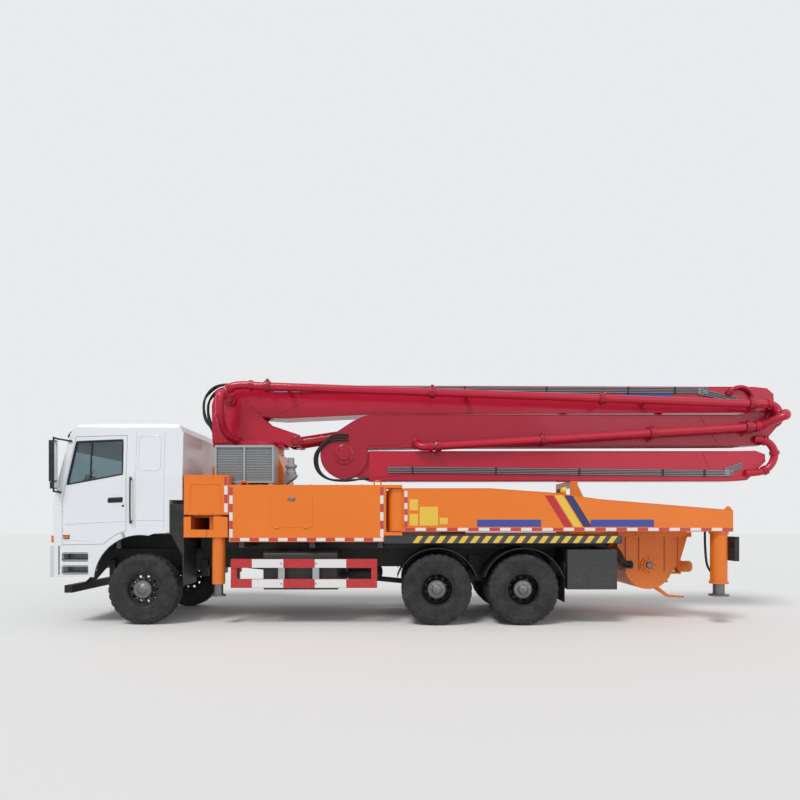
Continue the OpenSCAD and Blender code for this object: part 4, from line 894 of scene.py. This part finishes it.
# the delivery line's swivels: each is two bends that meet on a hinge's own line
bend("pipe_bend_at_turret_head", "section_1", (4, 20, 43),
     [(-2.84, PIPE_Y, 3.868), (-3.10, PIPE_Y, 3.884), (-3.28, -0.546, 3.86), (-3.37, -0.555, 3.79),
      (-3.40, -0.60, 3.715), (-3.40, -0.65, 3.70), (-3.40, -0.70, 3.70)])
bend("pipe_down_the_turret", "turret", (6, 32, 52),
     [(-3.40, -0.702, 3.70), (-3.40, -0.742, 3.70), (-3.40, -0.785, 3.685), (-3.42, -0.81, 3.58),
      (-3.43, -0.75, 3.36), (-3.42, -0.60, 3.16), (-3.34, -0.46, 3.02), (-3.26, -0.36, 2.985)])
bend("pipe_bend_at_knuckle_1", "section_1", (3, 43),
     [(5.60, PIPE_Y, 3.562), (5.70, -0.545, 3.548), (5.756, -0.555, 3.50), (5.782, -0.585, 3.42),
      (5.785, -0.625, 3.364), (5.785, -0.665, 3.358), (5.785, -0.71, 3.358)])
bend("pipe_return_to_section_2", "section_2", (6, 53),
     [(5.785, -0.712, 3.358), (5.785, -0.748, 3.358), (5.778, -0.79, 3.352), (5.73, -0.815, 3.325),
      (5.64, -0.77, 3.28), (5.56, -0.66, 3.235), (5.49, -0.565, 3.203), (5.42, PIPE_Y, 3.196)])
bend("pipe_end_into_section_2", "section_2", (3, 28),
     [(0.06, PIPE_Y, 2.864), (-0.06, PIPE_Y, 2.858), (-0.15, -0.53, 2.866), (-0.20, -0.48, 2.90),
      (-0.215, -0.42, 2.935)])
# the pipe that swings round the rear end, from the second section down to the third
bend("pipe_loop_at_rear_end", "section_3", (10, 24, 40),
     [(5.46, -0.46, 3.00), (5.56, -0.50, 2.98), (5.69, -0.51, 2.90), (5.755, -0.51, 2.76),
      (5.72, -0.51, 2.60), (5.60, -0.50, 2.47), (5.42, -0.47, 2.43), (5.30, -0.45, 2.43)], radius=0.06)
# the thin pipe that arches over the first section's rear end
bend("pipe_over_rear_end", "section_1", (3, 40),
     [(5.12, -0.238, 3.78), (5.20, -0.262, 3.88), (5.34, -0.272, 3.912), (5.46, -0.278, 3.86),
      (5.54, -0.274, 3.74), (5.55, -0.262, 3.60), (5.53, -0.244, 3.54)], radius=0.034)

# oil lines: grey tubes in a ladder of clamps, along the first section's top and the third's foot
LINE_GAP = 0.028
for name, body, y, line, clamps in (
        ("top", "section_1", -0.2385, [(-2.66, 3.918), (-1.2, 3.920), (4.30, 3.902), (4.62, 3.88), (5.30, 3.735)],
         (-2.2, -0.8, 0.6, 2.0, 3.4, 4.2)),
        ("foot", "section_3", -0.4535, [(-0.70, 2.52), (0.4, 2.515), (4.70, 2.47), (4.95, 2.50), (5.25, 2.60)],
         (-0.3, 1.1, 2.5, 3.9, 4.6))):
    bm = bmesh.new()
    for k in range(4):
        curved(bm, [(x, y, z - LINE_GAP * k) for x, z in line], 0.0115, 10, between=5)
    dress("oil_lines_" + name, bm, ZINC, body)
    bm = bmesh.new()
    (x1, z1), (x2, z2) = line[1:3]
    for x in clamps:
        z = z1 + (z2 - z1) * max(0.0, x - x1) / (x2 - x1)
        slab(bm, (x, y - 0.017, z - 0.102), (x + 0.03, y + 0.0135, z + 0.014))
        for dz in (-0.093, 0.004):
            hexagon(bm, (x + 0.0225, y - 0.017, z + dz), (0, -1, 0), 0.016, 0.008)
    dress("oil_line_clamps_" + name, bm, BLACK, body, soften=0.002)

# hoses that loop round a hinge between two bodies, each fixed where it is drawn
for k in range(6):
    y = -0.19 + 0.076 * k
    reach = 0.03 * (k % 3)
    bm = bmesh.new()
    curved(bm, [(-3.30, y, 3.935), (-3.46, y, 3.975 + reach * 0.4), (-3.68, y * 1.02, 3.93 + reach * 0.5),
                (-3.83 - reach, y * 1.04, 3.77), (-3.865 - reach, y * 1.05, 3.56), (-3.82 - reach, y * 1.03, 3.36),
                (-3.735, y, 3.20), (-3.705, y, 3.12)], 0.018, 12, between=8)
    turned(bm, (-3.705, y, 3.12 - 0.05), (0, 0, 1), [(0, 0), (0.024, 0), (0.024, 0.03), (0.021, 0.034),
                                                     (0.021, 0.07), (0, 0.07)], 12)
    dress("head_hose_%d" % k, bm, HOSE, "turret",
          blend=("turret", "section_1", (-3.84, 0, 3.22), (-3.62, 0, 3.95)))
for k in range(3):
    y = -0.462 - 0.012 * (k % 2)
    g = 0.045 * k
    bm = bmesh.new()
    curved(bm, [(-1.36, y, 2.98 + g), (-1.62, y, 2.97 + g), (-1.80 - g * 0.5, y, 2.86),
                (-1.875 - g * 0.6, y, 2.68), (-1.84 - g * 0.5, y, 2.47), (-1.68 - g * 0.3, y, 2.33),
                (-1.40, y, 2.312 - g * 0.2), (-1.02, y, 2.33 + g * 0.2)], 0.015, 12, between=8)
    dress("nose_hose_%d" % k, bm, HOSE, "section_2",
          blend=("section_2", "section_3", (-1.86, 0, 2.80), (-1.40, 0, 2.32)))

# the pin caps are in the darker crimson, which is painted shade
# pins: a cap with its ring of bolts on each end of each hinge
for name, body, (x, z), ends, r in (
        ("turret_head", "turret", PIVOT, ((-0.292, -1), (0.292, 1)), 0.105),
        ("cylinder_foot", "turret", (-2.259, 2.985), ((-0.282, -1), (0.282, 1)), 0.09),
        ("knuckle_1", "section_2", KNUCKLE_1, ((-0.449, -1),), 0.13),
        ("knuckle_2", "section_2", KNUCKLE_2, ((-0.441, -1), (-0.169, 1)), 0.17),
        ("knuckle_3", "section_4", KNUCKLE_3, ((0.454, 1),), 0.10)):
    bm = bmesh.new()
    for y, way in ends:
        turned(bm, (x, y, z), (0, way, 0), [(0, -0.01), (r, -0.01), (r, 0.008), (r - 0.012, 0.014), (r * 0.62, 0.014),
                                            (r * 0.58, 0.024), (r * 0.2, 0.026), (0, 0.022)], 40)
        bolt_circle(bm, (x, y + way * 0.013, z), (0, way, 0), r * 0.8, 8, 0.02, 0.01)
    dress("pin_caps_" + name, bm, CRIMSON_PAINTED_SHADE, body, soften=0.001)

# the couplings are in the darker crimson, which is painted shade
# bolted couplings round the delivery pipe
for name, body, (x0, z0), (x1, z1) in (("upper", "section_1", (-2.9, 3.87), (5.665, 3.56)),
                                       ("lower", "section_2", (0.0, 2.86), (5.485, 3.20))):
    bm = bmesh.new()
    run = Vector((x1 - x0, 0, z1 - z0))
    for share in (0.02, 0.34, 0.67, 0.96):
        at = Vector((x0, PIPE_Y, z0)) + run * share
        turned(bm, at, run, [(0.066, -0.02), (0.094, -0.018), (0.098, 0.0), (0.098, 0.022), (0.093, 0.026),
                             (0.093, 0.034), (0.098, 0.038), (0.098, 0.06), (0.094, 0.078), (0.066, 0.08)], 32)
        for dz in (-0.105, 0.105):
            slab(bm, at + Vector((0.008, -0.02, dz - 0.02)), at + Vector((0.052, 0.02, dz + 0.02)))
            hexagon(bm, at + Vector((0.03, -0.02, dz)), (0, -1, 0), 0.022, 0.012)
    dress("pipe_couplings_" + name, bm, CRIMSON_PAINTED_SHADE, body, soften=0.002)

# the second section's beads and plates are in the darker crimson, which is painted shade
# weld beads along the sections' chords, and the stiffening plates at their ends
for name, body, y, chords, finish in (
        ("section_1", "section_1", INNER_FACE,
         [[(-3.2, 3.937), (-1.0, 3.938), (5.5, 3.917)],
          [(-2.9, 3.413), (-2.45, 3.392), (-1.0, 3.460), (5.3, 3.489)]], CRIMSON),
        ("section_2_near", "section_2", OUTER_FACE,
         [[(-1.0, 3.408), (5.1, 3.398)], [(-1.05, 2.848), (0.5, 2.874), (5.15, 2.893)]], CRIMSON_PAINTED_SHADE),
        ("section_3_near", "section_3", OUTER_FACE,
         [[(-0.98, 2.788), (5.0, 2.788)], [(-0.98, 2.305), (5.0, 2.305), (5.3, 2.322)]], CRIMSON)):
    bm = bmesh.new()
    for side in ((LEFT, RIGHT) if body == "section_1" else (LEFT,)):
        for chord in chords:
            for (xa, za), (xb, zb) in zip(chord, chord[1:]):
                tube(bm, [(xa, side * y, za), (xb, side * y, zb)], 0.006, 8)
    dress("weld_beads_" + name, bm, finish, body)
plates("section_2_doublers",
       [[(-1.20, 3.33), (-0.50, 3.37), (-0.20, 3.10), (-0.50, 2.90), (-1.03, 2.88), (-1.02, 3.02)],
        [(4.55, 3.37), (5.15, 3.39), (5.60, 3.44), (5.60, 3.26), (5.30, 2.96), (4.85, 2.92)]],
       -OUTER_FACE, -0.4465, CRIMSON_PAINTED_SHADE, "section_2", soften=0.002)
plates("section_3_doublers",
       [[(-0.98, 2.74), (-0.45, 2.70), (-0.30, 2.55), (-0.45, 2.40), (-0.98, 2.34)],
        [(4.60, 2.74), (5.25, 2.76), (5.52, 2.72), (5.50, 2.58), (5.20, 2.38), (4.75, 2.36)]],
       -OUTER_FACE, -0.4465, CRIMSON, "section_3", soften=0.002)
for side, end in SIDES:
    plates("section_1_doublers_" + end,
           [[(-3.15, 3.86), (-2.55, 3.88), (-2.15, 3.66), (-2.55, 3.46), (-3.0, 3.47)],
            [(4.95, 3.86), (5.45, 3.87), (5.55, 3.70), (5.50, 3.50), (5.10, 3.53)]],
           side * INNER_FACE, side * 0.2315, CRIMSON, "section_1", soften=0.002)

# slewing motor and its gearbox on their bracket, behind the pedestal
bm = bmesh.new()
for y in (-0.45, -0.285):
    panel(bm, [(-2.47, 2.22), (-2.445, 2.22), (-2.25, 2.36), (-2.25, 2.385), (-2.46, 2.385)], y, y + 0.015)
slab(bm, (-2.47, -0.45, 2.385), (-2.235, -0.27, 2.405))
turned(bm, (-2.34, -0.36, 2.33), (0, 0, 1), [(0, 0.0), (0.085, 0.0), (0.092, 0.02), (0.092, 0.12), (0.075, 0.14),
                                             (0.075, 0.19), (0.10, 0.20), (0.10, 0.24), (0.06, 0.26), (0.055, 0.36),
                                             (0, 0.37)], 28)
dress("slewing_motor", bm, COOLER_GREY, "chassis", soften=0.002)

# lower face of the leg housing: a fixed plate and the plate on the sliding arm's end, with the cut-out between them
LEG_MIDDLE = -3.4975
for side, end in SIDES:
    plates("housing_lower_plate_" + end,
           [[(LEG_MIDDLE - side * x, z) for x, z in ((-0.3445, 1.69), (-0.3445, 1.37), (0.0075, 1.37), (0.0075, 1.49),
                                                     (-0.2325, 1.49), (-0.2325, 1.69))]],
           side * BEAM_FACE, side * 1.262, ORANGE, "chassis", soften=0.002)
    bm = bmesh.new()
    panel(bm, [(LEG_MIDDLE - side * x, z) for x, z in ((0.0135, 1.49), (0.0135, 1.37), (0.3375, 1.37),
                                                       (0.3375, 1.688), (0.1175, 1.688), (0.1175, 1.49))],
          side * BEAM_FACE, side * 1.262)
    panel(bm, [(LEG_MIDDLE - side * x, z) for x, z in oblong(0.125, 0.20, 1.45, 1.64)], side * 1.225, side * 1.252)
    dress("arm_end_plate_" + end, bm, ORANGE, "arm_f" + end[0], soften=0.002)


# ---------------------------------------------------------------- rear end
bm = bmesh.new()
for side in (LEFT, RIGHT):
    for x in (3.22, 3.44, 3.86, 4.08):
        panel(bm, oblong(x, x + 0.012, 0.80, 1.36), side * 0.640, side * 0.662)
    turned(bm, (3.6, side * 0.641, 0.9), (0, side, 0), [(0.06, 0), (0.135, 0), (0.135, 0.014), (0.125, 0.018),
                                                        (0.09, 0.018), (0.085, 0.04), (0.06, 0.042)], 36)
    bolt_circle(bm, (3.6, side * 0.658, 0.9), (0, side, 0), 0.11, 8, 0.022, 0.012)
dress("hopper_ribs_and_bearings", bm, ORANGE, "chassis", soften=0.002)

# the drive of the swing tube on the hopper's back, and the oil hoses that come to the hopper from the pump
bm = bmesh.new()
turned(bm, (4.20, -0.42, 0.86), (1, 0, 0), [(0, -0.10), (0.05, -0.10), (0.05, 0.0), (0.085, 0.0), (0.095, 0.015),
                                            (0.095, 0.17), (0.08, 0.195), (0.045, 0.205), (0, 0.207)], 32)
bolt_circle(bm, (4.37, -0.42, 0.86), (1, 0, 0), 0.075, 6, 0.018, 0.012)
slab(bm, (3.98, -0.50, 0.74), (4.19, -0.34, 0.77))
slab(bm, (4.17, -0.50, 0.74), (4.20, -0.34, 0.98))
dress("hopper_drive", bm, ORANGE, "chassis", soften=0.003)
for k in range(5):
    y, g = -0.70 - 0.028 * (k % 3), 0.055 * k
    bm = bmesh.new()
    curved(bm, [(2.66, y + 0.10, 1.20 - g * 0.6), (2.86, y + 0.04, 1.17 - g * 0.5), (3.02, y, 1.20 - g * 0.9),
                (3.12, y + 0.01, 1.12 - g), (3.20, y + 0.025, 0.98 - g * 0.5), (3.28, y + 0.035, 0.95 - g * 0.4)],
           0.014, 10, between=7)
    turned(bm, (3.27, y + 0.035, 0.95 - g * 0.4), (1, 0, 0.05), [(0, 0), (0.019, 0), (0.019, 0.05), (0.012, 0.055),
                                                                 (0, 0.055)], 12)
    dress("hopper_hose_%d" % k, bm, HOSE, "chassis")

for side, end in SIDES:
    # lamp board behind the leg
    beam = "beam_r" + end[0]
    blocks("lamp_board_" + end,
           [((4.70, side * 0.98, 1.00), (4.77, side * 1.24, 1.38)),
            ((4.638, side * 1.07, 1.22), (4.702, side * 1.13, 1.28))], BLACK, beam, soften=0.006)
    for name, z, finish in (("stop", 1.10, LENS_RED), ("turn", 1.20, LENS_AMBER), ("reverse", 1.30, LENS_CLEAR)):
        bm = bmesh.new()
        turned(bm, (4.768, side * 1.11, z), (1, 0, 0), [(0, 0), (0.042, 0), (0.04, 0.012), (0.024, 0.02), (0, 0.022)],
               24)
        dress("lamp_%s_%s" % (name, end), bm, finish, beam)
    # rubber flaps behind the rear wheels and in front of them
    bm = bmesh.new()
    for k in range(7):
        y0 = 0.62 + 0.088 * k
        slab(bm, (2.055, side * y0, 0.36), (2.064 + 0.002 * (k % 2), side * (y0 + 0.084), 0.98))
    slab(bm, (2.05, side * 0.62, 0.93), (2.07, side * 1.232, 0.965))
    dress("mud_flap_" + end, bm, HOSE, "chassis", soften=0.003)

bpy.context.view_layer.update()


# ---------------------------------------------------------------- studio
FLOOR = 60
floor_mesh = bpy.data.meshes.new("studio_floor")
floor_mesh.from_pydata([(-FLOOR, -FLOOR, -0.002), (FLOOR, -FLOOR, -0.002), (FLOOR, FLOOR, -0.002),
                        (-FLOOR, FLOOR, -0.002)], [], [(0, 1, 2, 3)])
floor = bpy.data.objects.new("studio_floor", floor_mesh)
bpy.context.scene.collection.objects.link(floor)
pale, tree, _ = start_finish("pale_studio_floor")
close_finish(tree, {"Base Color": linear("#f0efec"), "Roughness": 0.9})
floor_mesh.materials.append(pale)

world = bpy.data.worlds.new("soft_studio")
bpy.context.scene.world = world
world.use_nodes = True
tree = world.node_tree
tree.nodes.clear()
ray = add(tree, "LightPath")
seen = add(tree, "Math", {0: ray.outputs["Is Camera Ray"], 1: ray.outputs["Is Glossy Ray"]}, operation="MAXIMUM")
seen = add(tree, "Math", {0: seen.outputs[0], 1: ray.outputs["Is Transmission Ray"]}, operation="MAXIMUM")
soft = add(tree, "Background", {"Color": linear("#e4e9ef"), "Strength": 0.56})
paper = add(tree, "Background", {"Color": linear("#eef0f2"), "Strength": 0.95})
both = add(tree, "MixShader", {0: seen.outputs[0], 1: soft.outputs["Background"], 2: paper.outputs["Background"]})
add(tree, "OutputWorld", {"Surface": both.outputs["Shader"]})

for name, energy, angle, turn in (("high_key", 1.55, 18, (38, 0, -28)), ("side_fill", 0.5, 50, (68, 0, 35))):
    lamp = bpy.data.lights.new(name, "SUN")
    lamp.energy, lamp.angle = energy, math.radians(angle)
    holder = bpy.data.objects.new(name, lamp)
    holder.rotation_euler = [math.radians(a) for a in turn]
    bpy.context.scene.collection.objects.link(holder)

lens = bpy.data.cameras.new("photo_view")
lens.sensor_width, lens.lens, lens.shift_y = 36.0, 27.6, 0.15
lens.clip_end = 200
camera = bpy.data.objects.new("photo_view", lens)
camera.location = (-0.494, -10.75, 1.64)
camera.rotation_euler = (math.radians(90), 0, 0)
bpy.context.scene.collection.objects.link(camera)
bpy.context.scene.camera = camera
bpy.context.scene.view_settings.view_transform = "Standard"
